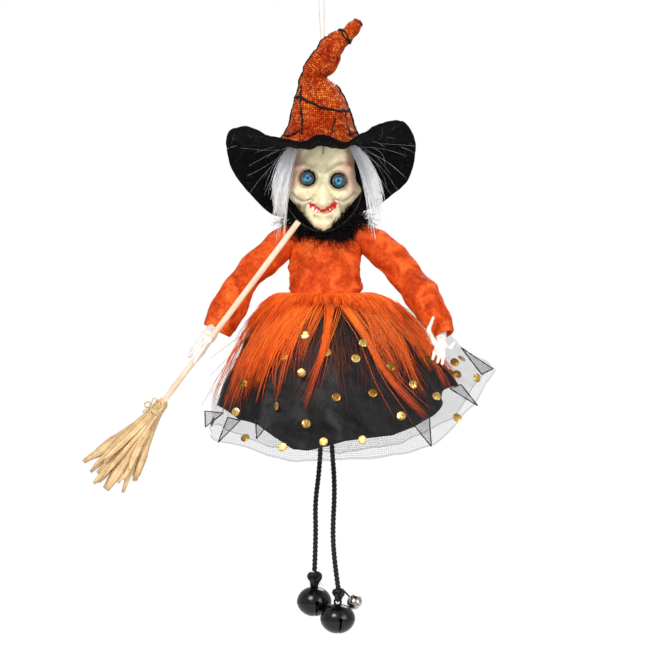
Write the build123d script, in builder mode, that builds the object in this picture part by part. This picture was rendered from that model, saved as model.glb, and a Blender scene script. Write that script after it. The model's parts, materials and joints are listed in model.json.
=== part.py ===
"""A hanging cloth witch with a straw broom, jingle-bell feet and a bent felt hat.

Millimetres. +Z is up and -Y is the figure's front. The origin is the inside of the
top of the hanging thread's loop, where a hook holds it. Left and right are the
figure's own, so its left side is +X.
"""

from build123d import *
import math
import os

os.makedirs("parts", exist_ok=True)

# Materials and stock
FELT = 1.4
HAT_CLOTH = 0.8
LACE = 0.3
DRESS_CLOTH = 0.8
SATIN = 0.6
NET = 0.4
MASK_WALL = 1.3
WIRE_RADIUS = 0.6
THREAD_RADIUS = 0.25
ELASTIC_RADIUS = 0.4
LEG_CORD_RADIUS = 1.25
STICK_RADIUS = 1.5
FREE = 0.1  # all-round clearance of a piece that turns or slips in another
GAP = 0.3  # gap between one cloth layer and the next
SEAT_GAP = 0.02  # gap where a bell's shank is pressed into its crown

# Hanging thread
HOOK_RADIUS = 2.15
THREAD_X = 0.8
THREAD_KNOT = (THREAD_X, 0, -38.8)
THREAD_KNOT_RADIUS = 1.5
THREAD_HOLE_RADIUS = 1.05

# Head and neck
HEAD_X = 1.0
FACE_SPLIT_Y = 1.0
NECK = (HEAD_X, 2.0)
DOWEL_RADIUS = 2.0
DOWEL_TOP = -98.0
DOWEL_BOTTOM = -156.0
EYE_RADIUS = 3.5
EYES = {"right": (-6.8, -104.6), "left": (9.0, -105.9)}

# Dress
WAIST_X = 2.8
WAIST_Z = -163.5
COLLAR_Z = -140.0

# Arms: shoulder, elbow and cuff centres, and the sleeves' radii along them
SHOULDERS = {"right": (-20.5, -1, -137.5), "left": (26.5, -1, -137.5)}
ELBOWS = {"right": (-40.6, -3, -159.2), "left": (46.8, -8, -159.2)}
CUFFS = {"right": (-53.5, -4, -183.0), "left": (61.8, -23.2, -186.0)}
SHOULDER_RADIUS = 7.5
ELBOW_RADIUS = 8.4
SLEEVE_END_RADIUS = 6.4
CUFF_RADII = {"right": 8.2, "left": 6.4}

# Broom
STICK_TOP = Vector(-11.4, -29.0, -128.5)
BROOM_TIE = Vector(-85.0, -6.35, -225.2)
BRISTLE_LENGTH = 49.0
BRISTLE_NECK = 7.0

# Legs and bells
HIP_Z = -171.6
BELL_RADIUS = 9.0
BELL_HALF_HEIGHT = 7.6
BELL_WALL = 0.6
SHANK_OUTER = 2.2
SHANK_HOLE = 1.1
SHANK_THICKNESS = 1.0
LINK_RADIUS = 1.8
LINK_CORD_RADIUS = 0.45
CLAPPER_RADIUS = 2.6

# Each leg cord's route, from the hip down to its knot
LEG_ROUTES = {
    "left": [
        (4.6, -5.7, HIP_Z),
        (4.2, -5.7, -208.0),
        (5.6, -5.7, -244.0),
        (7.3, -5.7, -265.0),
        (6.0, -5.7, -288.0),
        (7.0, -5.7, -303.5),
        (9.0, -5.7, -317.6),
    ],
    "right": [
        (0.8, 5.7, HIP_Z),
        (0.6, 5.7, -208.0),
        (-0.1, 5.7, -244.0),
        (-1.1, 5.7, -259.0),
        (-3.1, 5.7, -274.0),
        (-2.6, 5.7, -291.0),
        (-3.4, 5.7, -309.6),
    ],
}
KNOTS = {"left": (9.2, -5.7, -318.9), "right": (-3.3, 5.7, -311.4)}
KNOT_RADII = {"left": 2.2, "right": 2.8}
BELL_CENTRES = {"left": (8.7, -5.7, -333.0), "right": (-3.5, 5.7, -325.4)}
SMALL_BELL_SCALE = 0.46
SMALL_BELL_CENTRE = Vector(17.4, 1.4, -325.2)
SMALL_BELL_PIVOT = Vector(11.2, -3.9, -318.0)

SIDES = ("left", "right")


def save(piece, name):
    """Label a finished piece and write it to a file of its own."""
    piece.part.label = name
    export_step(piece.part, f"parts/{name}.step")


def taper(start, end, start_radius, end_radius, mode=Mode.ADD):
    """Add a round taper from one point to another to the part in hand."""
    along = Vector(*end) - Vector(*start)
    with BuildSketch(Plane(origin=start, z_dir=along)) as first:
        Circle(start_radius)
    with BuildSketch(Plane(origin=end, z_dir=along)) as last:
        Circle(end_radius)
    loft([first.sketch, last.sketch], mode=mode)


def limb(points, radii, mode=Mode.ADD):
    """Add a string of tapers, rounded where one meets the next."""
    for i in range(len(points) - 1):
        taper(points[i], points[i + 1], radii[i], radii[i + 1], mode)
        with Locations(points[i + 1]):
            Sphere(radii[i + 1], mode=mode)


def ovals(sections, mode=Mode.ADD):
    """Loft level ovals, each given as x, y, z, half width and half depth."""
    rings = []
    for x, y, z, half_width, half_depth in sections:
        with BuildSketch(Plane.XY.offset(z)) as ring:
            with Locations((x, y)):
                Ellipse(half_width, half_depth)
        rings.append(ring.sketch)
    loft(rings, ruled=True, mode=mode)


def shrunk(sections, by):
    """The same ovals, smaller all round."""
    return [(x, y, z, w - by, d - by) for x, y, z, w, d in sections]


def cord_radii(name, points):
    """The arc at each corner of a cord's route, as large as its two runs allow."""
    radii = []
    for before, here, after in zip(points, points[1:], points[2:]):
        run_in = Vector(*here) - Vector(*before)
        run_out = Vector(*after) - Vector(*here)
        half_turn = math.radians(run_in.get_angle(run_out) / 2)
        shorter = min(run_in.length, run_out.length)
        radii.append(0.45 * shorter / math.tan(half_turn))
    print(name, "arc radii", [round(radius, 1) for radius in radii])
    return radii


def cord(name, points, radii, radius):
    """A round cord along straight runs joined by arcs."""
    with BuildPart() as piece:
        with BuildLine() as route:
            FilletPolyline(*points, radius=radii)
        with BuildSketch(Plane(origin=route.line @ 0, z_dir=route.line % 0)):
            Circle(radius)
        sweep()
    length = route.wires()[0].length
    print(name, "length", round(length, 1), "volume", round(piece.part.volume, 2),
          "section x length", round(math.pi * radius**2 * length, 2))
    save(piece, name)
    return piece


# ------------------------------------------------------------------ hanging thread

def hanging_thread():
    """One loop of thread over the hook, knotted inside the hat's bent tip."""
    apart = 0.5
    reach = HOOK_RADIUS + THREAD_RADIUS
    foot = THREAD_KNOT[2] + THREAD_KNOT_RADIUS
    points = [
        (THREAD_X - apart, 0, foot),
        (-reach, 0, THREAD_RADIUS),
        (reach, 0, THREAD_RADIUS),
        (THREAD_X + apart, 0, foot),
    ]
    cord("hanging_loop", points, [HOOK_RADIUS, HOOK_RADIUS], THREAD_RADIUS)
    with BuildPart() as knot:
        with Locations(THREAD_KNOT):
            Sphere(THREAD_KNOT_RADIUS)
    save(knot, "loop_knot")


# ------------------------------------------------------------------ hat

# Rings of the hat from the brim up through the kink to the tip: x, z, radius, lean
HAT_RINGS = [
    (-0.7, -78.4, 17.9, 0),
    (-0.6, -69.2, 14.3, 0),
    (-0.7, -60.5, 11.6, 0),
    (-2.2, -54.6, 8.4, 4),
    (-2.7, -50.6, 6.2, 14),
    (-0.3, -46.0, 6.9, 28),
    (4.0, -39.6, 6.5, 36),
    (9.7, -32.8, 4.8, 42),
    (15.2, -27.0, 3.4, 46),
    (20.0, -22.8, 2.2, 50),
]
HAT_BASE_Z = -92.0
HAT_BASE_TILT = 16.0
HAT_BASE = (22.0, 21.0)


def hat_rings(inset, rings=HAT_RINGS, base=True, mode=Mode.ADD):
    """Loft the hat's rings, leaning to its left above the kink."""
    sections = []
    if base:
        level = Plane(origin=(-0.7, 1.0, HAT_BASE_Z)).rotated((-HAT_BASE_TILT, 0, 0))
        with BuildSketch(level) as ring:
            Ellipse(HAT_BASE[0] - inset, HAT_BASE[1] - inset)
        sections.append(ring.sketch)
    for x, z, radius, lean in rings:
        with BuildSketch(Plane(origin=(x, 0, z)).rotated((0, lean, 0))) as ring:
            Ellipse(radius - inset, 0.96 * radius - inset)
        sections.append(ring.sketch)
    loft(sections, ruled=True, mode=mode)


def hat():
    """The bent cloth cone, the web lace over it and the filling that keeps it up."""
    hole_top = -28.0
    with BuildPart() as cone:
        hat_rings(0)
        hat_rings(HAT_CLOTH, HAT_RINGS[:-1], mode=Mode.SUBTRACT)
        with Locations((THREAD_X, 0, hole_top)):
            Cylinder(THREAD_HOLE_RADIUS, 10, align=(Align.CENTER, Align.CENTER, Align.MAX),
                     mode=Mode.SUBTRACT)
    save(cone, "hat_cone")

    with BuildPart() as lace:
        hat_rings(-LACE - FREE, HAT_RINGS[:3], base=False)
        hat_rings(-FREE, HAT_RINGS[:3], base=False, mode=Mode.SUBTRACT)
    save(lace, "hat_web_lace")

    with BuildPart() as filling:
        hat_rings(HAT_CLOTH + GAP, HAT_RINGS[1:-1], base=False)
        pocket = THREAD_KNOT_RADIUS + GAP
        with Locations((THREAD_X, 0, THREAD_KNOT[2] - pocket)):
            Cylinder(pocket, 10, align=(Align.CENTER, Align.CENTER, Align.MIN),
                     mode=Mode.SUBTRACT)
    save(filling, "hat_stuffing")


# The brim's edge down its left side, front first, and the ring it is sewn to
BRIM_EDGE = [
    (19.0, -42.0, -85.0),
    (36.0, -30.0, -77.5),
    (46.5, -14.0, -79.5),
    (49.0, 2.0, -90.0),
    (43.5, 16.0, -107.0),
    (27.0, 28.0, -119.0),
]
BRIM_FRONT = (0.0, -45.0, -87.0)
BRIM_BACK = (0.0, 33.0, -123.5)


def brim():
    """A felt disc, rolled up at its front corners and hanging low at the back."""
    middle_x, middle_y = -0.7, 1.0
    mirrored = [(-x, y, z) for x, y, z in reversed(BRIM_EDGE)]
    outer = [BRIM_FRONT, *BRIM_EDGE, BRIM_BACK, *mirrored]
    inner = []
    for x, y, z in outer:
        angle = math.atan2(y - middle_y, x - middle_x)
        ring_x = middle_x + (HAT_BASE[0] + 0.3) * math.cos(angle)
        ring_y = middle_y + (HAT_BASE[1] + 0.3) * math.sin(angle)
        slope = math.tan(math.radians(HAT_BASE_TILT))
        ring_z = HAT_BASE_Z - (ring_y - middle_y) * slope
        inner.append((ring_x, ring_y, ring_z))
    ring = Spline(*inner, periodic=True)
    edge = Spline(*outer, periodic=True)
    sheet = Face.make_surface_from_curves(ring, edge)
    with BuildPart() as felt:
        thicken(sheet, amount=FELT)
    save(felt, "hat_brim")


# ------------------------------------------------------------------ head

SKULL = [
    (HEAD_X, -1.0, -76.5, 6.4, 5.6),
    (HEAD_X, -0.5, -80.0, 12.4, 11.0),
    (HEAD_X, -0.5, -88.0, 16.2, 15.0),
    (HEAD_X, -0.5, -98.0, 17.8, 16.3),
    (HEAD_X, -0.5, -109.0, 17.8, 16.0),
    (HEAD_X, -2.5, -117.0, 15.0, 14.2),
    (HEAD_X, -7.0, -124.5, 9.8, 9.0),
    (HEAD_X, -11.0, -131.5, 4.8, 4.0),
]
NOSE = [(-14, -102.0), (-24.5, -117.0), (-24.5, -119.6), (-14, -117.5)]
NOSE_WIDTH = 5.0


def mask(name, keep):
    """One half of the hollow moulded head, split behind the temples."""
    lining = shrunk(SKULL[:-1], MASK_WALL)
    x, y, z, half_width, half_depth = lining[0]
    lining[0] = (x, y, z - MASK_WALL, half_width, half_depth)
    with BuildPart() as piece:
        ovals(SKULL)
        with BuildSketch(Plane.YZ.offset(HEAD_X - NOSE_WIDTH / 2)):
            with BuildLine():
                Polyline(*NOSE, close=True)
            make_face()
        extrude(amount=NOSE_WIDTH)
        ovals(lining, mode=Mode.SUBTRACT)
        for eye_x, eye_z in EYES.values():
            with BuildSketch(Plane.XZ):
                with Locations((eye_x, eye_z)):
                    Circle(EYE_RADIUS + FREE)
            extrude(amount=30, mode=Mode.SUBTRACT)
        with Locations((*NECK, -126)):
            Cylinder(DOWEL_RADIUS + 1.2, 14, mode=Mode.SUBTRACT)
        split(bisect_by=Plane.XZ.offset(-FACE_SPLIT_Y), keep=keep)
    save(piece, name)


def head():
    """The two mask halves, the eyes and the socket that turns on the neck."""
    mask("face_shell", Keep.TOP)
    mask("head_back", Keep.BOTTOM)
    for side, (x, z) in EYES.items():
        with BuildPart() as eye:
            with BuildSketch(Plane.XZ.offset(11.0)):
                with Locations((x, z)):
                    Circle(EYE_RADIUS)
            extrude(amount=3.4)
            fillet(eye.faces().sort_by(Axis.Y)[0].edges(), 0.9)
        save(eye, f"{side}_eye")

    socket_top, socket_bottom = -103.0, -118.0
    with BuildPart() as socket:
        ovals(shrunk(SKULL[3:-1], MASK_WALL + FREE))
        with BuildSketch(Plane.XY.offset(socket_bottom)):
            Rectangle(80, 80)
        extrude(amount=-20, mode=Mode.SUBTRACT)
        with BuildSketch(Plane.XY.offset(socket_top)):
            Rectangle(80, 80)
        extrude(amount=20, mode=Mode.SUBTRACT)
        for x, z in EYES.values():
            with Locations((x, -12.0, z)):
                Sphere(EYE_RADIUS + 2.0, mode=Mode.SUBTRACT)
        with Locations((*NECK, socket_bottom)):
            Cylinder(DOWEL_RADIUS + FREE / 2, 40, mode=Mode.SUBTRACT)
    save(socket, "neck_socket")


def hair():
    """A lock of loose hair below the brim on each side of the face."""
    for side, sign in (("left", 1), ("right", -1)):
        with BuildPart() as lock:
            for out, y, z, half_width, half_depth in (
                (22.6, 0.0, -95.5, 1.2, 5.0),
                (23.6, -2.0, -108.0, 2.0, 6.0),
                (24.0, -3.5, -119.0, 1.2, 4.0),
            ):
                with BuildSketch(Plane.XY.offset(z)):
                    with Locations((HEAD_X + sign * out, y)):
                        Ellipse(half_width, half_depth)
            loft()
        save(lock, f"hair_{side}")


# The hat's elastic runs from inside the brim on one side, under the chin, to the other
ELASTIC_ROUTE = [
    (-19.6, 1.0, -99.0),
    (-19.9, -2.6, -112.0),
    (-16.4, -7.0, -122.3),
    (-8.8, -11.6, -130.2),
    (0.6, -13.6, -133.8),
    (9.6, -11.8, -130.8),
    (17.8, -7.2, -122.6),
    (21.6, -2.8, -112.0),
    (21.8, 1.0, -99.0),
]


# ------------------------------------------------------------------ dress

BODICE = [
    (WAIST_X, 0, -169.0, 15.4, 11.4),
    (WAIST_X, 0, -163.0, 16.0, 11.8),
    (WAIST_X - 0.4, 0, -154.0, 17.6, 12.8),
    (WAIST_X - 0.8, 0, -148.5, 17.4, 12.4),
    (WAIST_X - 0.8, 0, -145.6, 14.6, 9.6),
]

# Rings of the skirt's outer surface: x, z, half width, half depth
SATIN_RINGS = [
    (WAIST_X, WAIST_Z, 17.6, 13.4),
    (4.2, -171.0, 28.0, 22.5),
    (6.8, -181.0, 41.0, 33.0),
    (9.2, -195.0, 52.0, 41.5),
    (9.4, -213.0, 61.0, 47.5),
    (9.4, -246.0, 69.0, 51.0),
]
NET_RINGS = [
    (WAIST_X, WAIST_Z, 18.6, 14.4),
    (4.2, -171.0, 30.0, 24.5),
    (6.8, -181.0, 43.6, 35.4),
    (10.6, -195.0, 56.5, 44.4),
    (16.0, -207.0, 70.0, 47.0),
    (13.5, -226.0, 74.5, 54.0),
    (11.0, -252.0, 76.0, 55.0),
]
SATIN_HEM = [(-70.0, -212.0), (2.0, -244.6), (90.0, -206.5)]
NET_HEM = [(-80.0, -226.0), (2.0, -250.4), (100.0, -215.0)]


def skirt_layer(name, rings, cloth, hem):
    """A thin flared layer, open below, cut to its hem's curve."""
    outside = [(x, 0, z, w, d) for x, z, w, d in rings]
    with BuildPart() as layer:
        ovals(outside)
        ovals(shrunk(outside, cloth), mode=Mode.SUBTRACT)
        with BuildSketch(Plane.XZ):
            with BuildLine():
                ThreePointArc(*hem)
                Polyline(hem[2], (hem[2][0], -300), (hem[0][0], -300), hem[0])
            make_face()
        extrude(amount=80, both=True, mode=Mode.SUBTRACT)
    save(layer, name)


def dress():
    """Bodice, its filling and wires, the collar, and the layers of the skirt."""
    with BuildPart() as dowel:
        with Locations((*NECK, DOWEL_BOTTOM)):
            Cylinder(DOWEL_RADIUS, DOWEL_TOP - DOWEL_BOTTOM,
                     align=(Align.CENTER, Align.CENTER, Align.MIN))
    save(dowel, "neck_dowel")

    wire_z = -150.0
    with BuildPart() as wire:
        points = [(-12.4, -1.0, -143.4), (-9.0, -4.0, wire_z), (14.0, -4.0, wire_z),
                  (17.4, -1.0, -143.4)]
        limb(points, [WIRE_RADIUS] * 4)
    save(wire, "shoulder_wire")

    with BuildPart() as bodice:
        ovals(BODICE)
        ovals(shrunk(BODICE[1:-1], DRESS_CLOTH), mode=Mode.SUBTRACT)
        with Locations((*NECK, -146)):
            Cylinder(DOWEL_RADIUS + FREE, 12, mode=Mode.SUBTRACT)
        limb(points, [WIRE_RADIUS + FREE] * 4, Mode.SUBTRACT)
    save(bodice, "bodice")

    with BuildPart() as filling:
        ovals(shrunk(BODICE[1:-1], DRESS_CLOTH + GAP))
        add(dowel.part, mode=Mode.SUBTRACT)
        add(wire.part, mode=Mode.SUBTRACT)
    save(filling, "torso_stuffing")

    with BuildPart() as collar:
        with Locations((WAIST_X - 1.0, 0.6, COLLAR_Z)):
            Torus(8.6, 4.2)
    save(collar, "collar_ruff")

    with BuildPart() as elastic:
        for inset, mode in ((0, Mode.ADD), (1.0, Mode.SUBTRACT)):
            with BuildSketch(Plane.XY.offset(WAIST_Z + GAP)):
                with Locations((WAIST_X, 0)):
                    Ellipse(17.9 - inset, 13.7 - inset)
            extrude(amount=2.0, mode=mode)
    save(elastic, "waist_elastic")

    skirt_layer("skirt_satin", SATIN_RINGS, SATIN, SATIN_HEM)
    skirt_layer("skirt_tulle", NET_RINGS, NET, NET_HEM)

    trim_outside = [
        (WAIST_X, 0, WAIST_Z, 21.6, 17.4),
        (4.0, 0, -169.0, 31.0, 26.0),
        (6.6, 0, -179.0, 44.6, 36.6),
        (7.4, 0, -184.0, 49.0, 40.0),
    ]
    trim_inside = [(x, 0, z, w + GAP, d + GAP) for x, z, w, d in NET_RINGS[:4]]
    with BuildPart() as trim:
        ovals(trim_outside)
        ovals(trim_inside, mode=Mode.SUBTRACT)
    save(trim, "fur_trim")

    tab_top = BODICE[0][2] - GAP
    with BuildPart() as tab:
        with Locations((WAIST_X, 0, tab_top)):
            Box(9, 17, 1.4, align=(Align.CENTER, Align.CENTER, Align.MAX))
    save(tab, "leg_anchor_tab")


# ------------------------------------------------------------------ arms and hands

def arms():
    """Each arm is two wires in two stuffed sleeves, with a turning joint at the elbow."""
    for side in SIDES:
        shoulder, elbow, cuff = SHOULDERS[side], ELBOWS[side], CUFFS[side]
        upper = Vector(*elbow) - Vector(*shoulder)
        lower = Vector(*cuff) - Vector(*elbow)
        short_of_elbow = Vector(*elbow) - upper.normalized() * (ELBOW_RADIUS + 0.6)
        wrist = Vector(*cuff) + lower.normalized() * 3.0

        with BuildPart() as upper_wire:
            taper(shoulder, tuple(short_of_elbow), WIRE_RADIUS, WIRE_RADIUS)
        save(upper_wire, f"upper_arm_wire_{side}")

        with BuildPart() as sleeve:
            with Locations(shoulder):
                Sphere(SHOULDER_RADIUS)
            taper(shoulder, elbow, SHOULDER_RADIUS, SLEEVE_END_RADIUS)
            with Locations(elbow):
                Sphere(ELBOW_RADIUS + GAP, mode=Mode.SUBTRACT)
            add(upper_wire.part, mode=Mode.SUBTRACT)
        save(sleeve, f"sleeve_upper_{side}")

        with BuildPart() as lower_wire:
            taper(elbow, tuple(wrist), WIRE_RADIUS, WIRE_RADIUS)
        save(lower_wire, f"forearm_wire_{side}")

        pocket = Vector(*cuff) - lower.normalized() * 7.0
        cuff_radius = CUFF_RADII[side]
        with BuildPart() as sleeve:
            with Locations(elbow):
                Sphere(ELBOW_RADIUS)
            taper(elbow, cuff, SLEEVE_END_RADIUS, cuff_radius)
            taper(tuple(pocket), cuff, cuff_radius - 2.6, cuff_radius - 0.9, Mode.SUBTRACT)
            add(lower_wire.part, mode=Mode.SUBTRACT)
        save(sleeve, f"sleeve_lower_{side}")

        hand(side, lower_wire, tuple(Vector(*cuff) - lower.normalized() * 2.0))


# Each finger: its knuckle, its middle joint and its tip
PALMS = {"right": (-58.6, -9.6, -190.4), "left": (60.9, -28.2, -190.5)}
FINGERS = {
    "right": [
        [(-58.0, -13.0, -192.4), (-62.0, -17.0, -198.0), (-67.6, -14.6, -201.6)],
        [(-59.6, -13.6, -189.6), (-64.4, -16.8, -194.0), (-69.4, -13.2, -198.6)],
        [(-61.0, -11.4, -189.4), (-66.0, -10.2, -192.8), (-69.8, -9.6, -196.8)],
        [(-57.8, -9.6, -192.6), (-61.2, -8.4, -197.4), (-65.8, -8.4, -202.0)],
    ],
    "left": [
        [(57.9, -30.4, -190.4), (54.7, -32.6, -183.6), (56.9, -33.2, -177.2)],
        [(59.1, -30.2, -192), (57.7, -32.2, -195), (56.7, -33.2, -198.2)],
        [(60.7, -30.6, -192.6), (60.1, -32.6, -196.4), (59.1, -33.6, -199.8)],
        [(62.1, -30.6, -192.4), (62.3, -32.6, -196.8), (61.5, -33.6, -200.6)],
        [(63.3, -30, -191.4), (65.7, -32.6, -192.6), (67.7, -33.2, -189.8)],
    ],
}


def hand(side, wire, wrist):
    """A thin moulded hand on the end of the forearm's wire."""
    with BuildPart() as piece:
        taper(wrist, PALMS[side], 2.0, 3.0)
        with Locations(PALMS[side]):
            Sphere(3.0)
        for knuckle, middle, tip in FINGERS[side]:
            taper(PALMS[side], knuckle, 1.2, 1.1)
            with Locations(knuckle):
                Sphere(1.1)
            limb([knuckle, middle, tip], [1.1, 0.95, 0.7])
        add(wire.part, mode=Mode.SUBTRACT)
        if side == "right":
            taper(tuple(STICK_TOP), tuple(BROOM_TIE), STICK_RADIUS + FREE,
                  STICK_RADIUS + FREE, Mode.SUBTRACT)
    save(piece, f"hand_{side}")


# ------------------------------------------------------------------ broom

def broom():
    """A straight stick with a fan of flat straw tied round its end."""
    along = (BROOM_TIE - STICK_TOP).normalized()
    stick_end = BROOM_TIE + along * 4.0
    with BuildPart() as stick:
        taper(tuple(STICK_TOP), tuple(stick_end), STICK_RADIUS, STICK_RADIUS)
    save(stick, "broom_handle")

    across = Vector(0, 1, 0).cross(along)
    with BuildPart() as straw:
        for step, half_width, half_depth in (
            (-BRISTLE_NECK, 3.0, 2.4),
            (0.0, 3.0, 2.4),
            (16.0, 6.4, 4.4),
            (34.0, 11.4, 6.4),
            (BRISTLE_LENGTH, 14.6, 7.0),
        ):
            spot = BROOM_TIE + along * step
            with BuildSketch(Plane(origin=spot, x_dir=across, z_dir=along)):
                Ellipse(half_width, half_depth)
        loft()
        taper(tuple(STICK_TOP), tuple(stick_end), STICK_RADIUS, STICK_RADIUS,
              Mode.SUBTRACT)
    save(straw, "broom_straw")

    with BuildPart() as tie:
        for half_width, half_depth, mode in ((4.2, 3.6, Mode.ADD), (3.15, 2.55, Mode.SUBTRACT)):
            with BuildSketch(Plane(origin=BROOM_TIE - along * 1.6, x_dir=across, z_dir=along)):
                Ellipse(half_width, half_depth)
            extrude(amount=2.4, mode=mode)
    save(tie, "broom_tie")


# ------------------------------------------------------------------ legs and bells

def bell_profile(radius, half_height):
    """Half of a bell's outline: a round shoulder, a ridge and a pointed underside."""
    ridge = 0.08 * half_height
    with BuildLine() as outline:
        ThreePointArc((0, half_height), (0.72 * radius, 0.72 * half_height), (radius, ridge))
        Line((radius, ridge), (radius, -ridge))
        ThreePointArc((radius, -ridge), (0.66 * radius, -0.76 * half_height),
                      (0, -half_height))
        Line((0, -half_height), (0, half_height))
    make_face(outline.line)


def bell(name, scale, where):
    """A bell: slotted shell, the flat shank in its crown, and the loose ball inside."""
    radius, half_height = BELL_RADIUS * scale, BELL_HALF_HEIGHT * scale
    wall = BELL_WALL * max(scale, 0.6)
    slot = 1.2 * scale
    with BuildPart() as shell:
        with BuildSketch(Plane.XZ):
            bell_profile(radius, half_height)
        revolve(axis=Axis.Z)
        with BuildSketch(Plane.XZ) as hollow:
            bell_profile(radius - wall, half_height - wall)
        revolve(axis=Axis.Z, mode=Mode.SUBTRACT)
        with BuildSketch(Plane.XY):
            Rectangle(2.4 * radius, slot, rotation=100)
            Rectangle(2.4 * radius, slot, rotation=10)
        extrude(amount=-2 * half_height, mode=Mode.SUBTRACT)
        for angle in (10, 100):
            with BuildSketch(Plane.XZ.rotated((0, 0, angle))):
                Circle(slot)
            extrude(amount=2 * radius, both=True, mode=Mode.SUBTRACT)
    with BuildPart() as shank:
        with BuildSketch(Plane.XZ):
            with Locations((0, half_height + SHANK_HOLE * scale)):
                Circle(SHANK_OUTER * scale)
                Circle(SHANK_HOLE * scale, mode=Mode.SUBTRACT)
        extrude(amount=SHANK_THICKNESS * scale / 2, both=True)
        with BuildSketch(Plane.XZ):
            bell_profile(radius + SEAT_GAP, half_height + SEAT_GAP)
        revolve(axis=Axis.Z, mode=Mode.SUBTRACT)
    with BuildPart() as ball:
        with Locations((0, 0, wall + CLAPPER_RADIUS * scale + 0.4 * scale - half_height)):
            Sphere(CLAPPER_RADIUS * scale)
    for piece, label in ((shell, "shell"), (shank, "shank"), (ball, "clapper")):
        placed = where * piece.part
        placed.label = f"{name}_{label}"
        export_step(placed, f"parts/{name}_{label}.step")


def legs():
    """Two cords that hang from the waist, with a knot and a linked bell on each."""
    for side in SIDES:
        route = LEG_ROUTES[side]
        name = f"leg_cord_{side}"
        leg_cord = cord(name, route, cord_radii(name, route), LEG_CORD_RADIUS)
        x, y, z = BELL_CENTRES[side]
        link = (x, y, z + BELL_HALF_HEIGHT + SHANK_HOLE + LINK_RADIUS)

        with BuildPart() as knot:
            with Locations(KNOTS[side]):
                Sphere(KNOT_RADII[side])
            with Locations(Location(link, (0, 90, 0))):
                Torus(LINK_RADIUS, LINK_CORD_RADIUS)
            add(leg_cord.part, mode=Mode.SUBTRACT)
        save(knot, f"leg_knot_{side}")
        bell(f"bell_{side}", 1.0, Location(BELL_CENTRES[side]))

    hang = (SMALL_BELL_PIVOT - SMALL_BELL_CENTRE).normalized()
    shank_top = BELL_HALF_HEIGHT + SHANK_HOLE + SHANK_OUTER
    bell("small_bell", SMALL_BELL_SCALE, Plane(origin=SMALL_BELL_CENTRE, z_dir=hang).location)
    with BuildPart() as tether:
        foot = SMALL_BELL_CENTRE + hang * shank_top * SMALL_BELL_SCALE
        taper(tuple(SMALL_BELL_PIVOT), tuple(foot), LINK_CORD_RADIUS, LINK_CORD_RADIUS)
    save(tether, "small_bell_cord")


hanging_thread()
hat()
brim()
head()
hair()
cord("hat_elastic", ELASTIC_ROUTE, cord_radii("hat_elastic", ELASTIC_ROUTE), ELASTIC_RADIUS)
dress()
arms()
broom()
legs()
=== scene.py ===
"""The looks of the hanging cloth witch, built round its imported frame.

Shapes are worked out in millimetres, +Z up and -Y the figure's front, and go into
Blender in metres. Left and right are the figure's own, so its left is +X.
"""

import json
import math

import bpy
import numpy as np
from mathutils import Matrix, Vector


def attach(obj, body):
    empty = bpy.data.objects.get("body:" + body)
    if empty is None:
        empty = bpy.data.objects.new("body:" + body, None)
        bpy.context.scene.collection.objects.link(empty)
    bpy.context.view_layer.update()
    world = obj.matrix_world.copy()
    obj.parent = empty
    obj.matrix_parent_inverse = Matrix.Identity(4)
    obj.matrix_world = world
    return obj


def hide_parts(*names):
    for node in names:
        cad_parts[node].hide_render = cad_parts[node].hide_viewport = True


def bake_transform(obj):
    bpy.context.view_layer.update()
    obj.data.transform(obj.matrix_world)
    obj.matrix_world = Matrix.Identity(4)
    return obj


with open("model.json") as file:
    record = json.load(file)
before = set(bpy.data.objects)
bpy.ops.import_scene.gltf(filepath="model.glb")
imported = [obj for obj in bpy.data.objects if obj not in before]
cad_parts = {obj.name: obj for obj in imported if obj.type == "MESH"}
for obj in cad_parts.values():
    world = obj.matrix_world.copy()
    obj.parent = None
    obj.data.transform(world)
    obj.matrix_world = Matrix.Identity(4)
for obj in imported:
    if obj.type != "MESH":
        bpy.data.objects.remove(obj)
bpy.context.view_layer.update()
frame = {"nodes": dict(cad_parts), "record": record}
scene = bpy.context.scene
MM = 0.001
SIDES = {"left": 1, "right": -1}


def add_object(name, data):
    made = bpy.data.objects.new(name, data)
    scene.collection.objects.link(made)
    return made


# ---------------------------------------------------------------- camera

def make_camera():
    """Level, in front, and framed from above the hat to below the bells."""
    distance, frame_height, sensor = 1.3, 0.338, 36.0
    data = bpy.data.cameras.new("camera")
    data.sensor_width = sensor
    data.lens = sensor * distance / frame_height
    data.clip_start, data.clip_end = 0.05, 50.0
    camera = add_object("camera", data)
    camera.location = (0.0021, -distance, -0.181)
    camera.rotation_euler = (math.pi / 2, 0, 0)
    scene.camera = camera


make_camera()


# ---------------------------------------------------------------- materials

def srgb(red, green, blue):
    """A linear colour from the usual 0 to 255 values."""
    channels = [c / 255 for c in (red, green, blue)]
    linear = [c / 12.92 if c < 0.04 else ((c + 0.055) / 1.055) ** 2.4 for c in channels]
    return (*linear, 1.0)


def paint(red, green, blue):
    """The same colour as an array of three, for a piece's own tint."""
    return np.array(srgb(red, green, blue)[:3])


WHITE = srgb(255, 255, 255)


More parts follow.
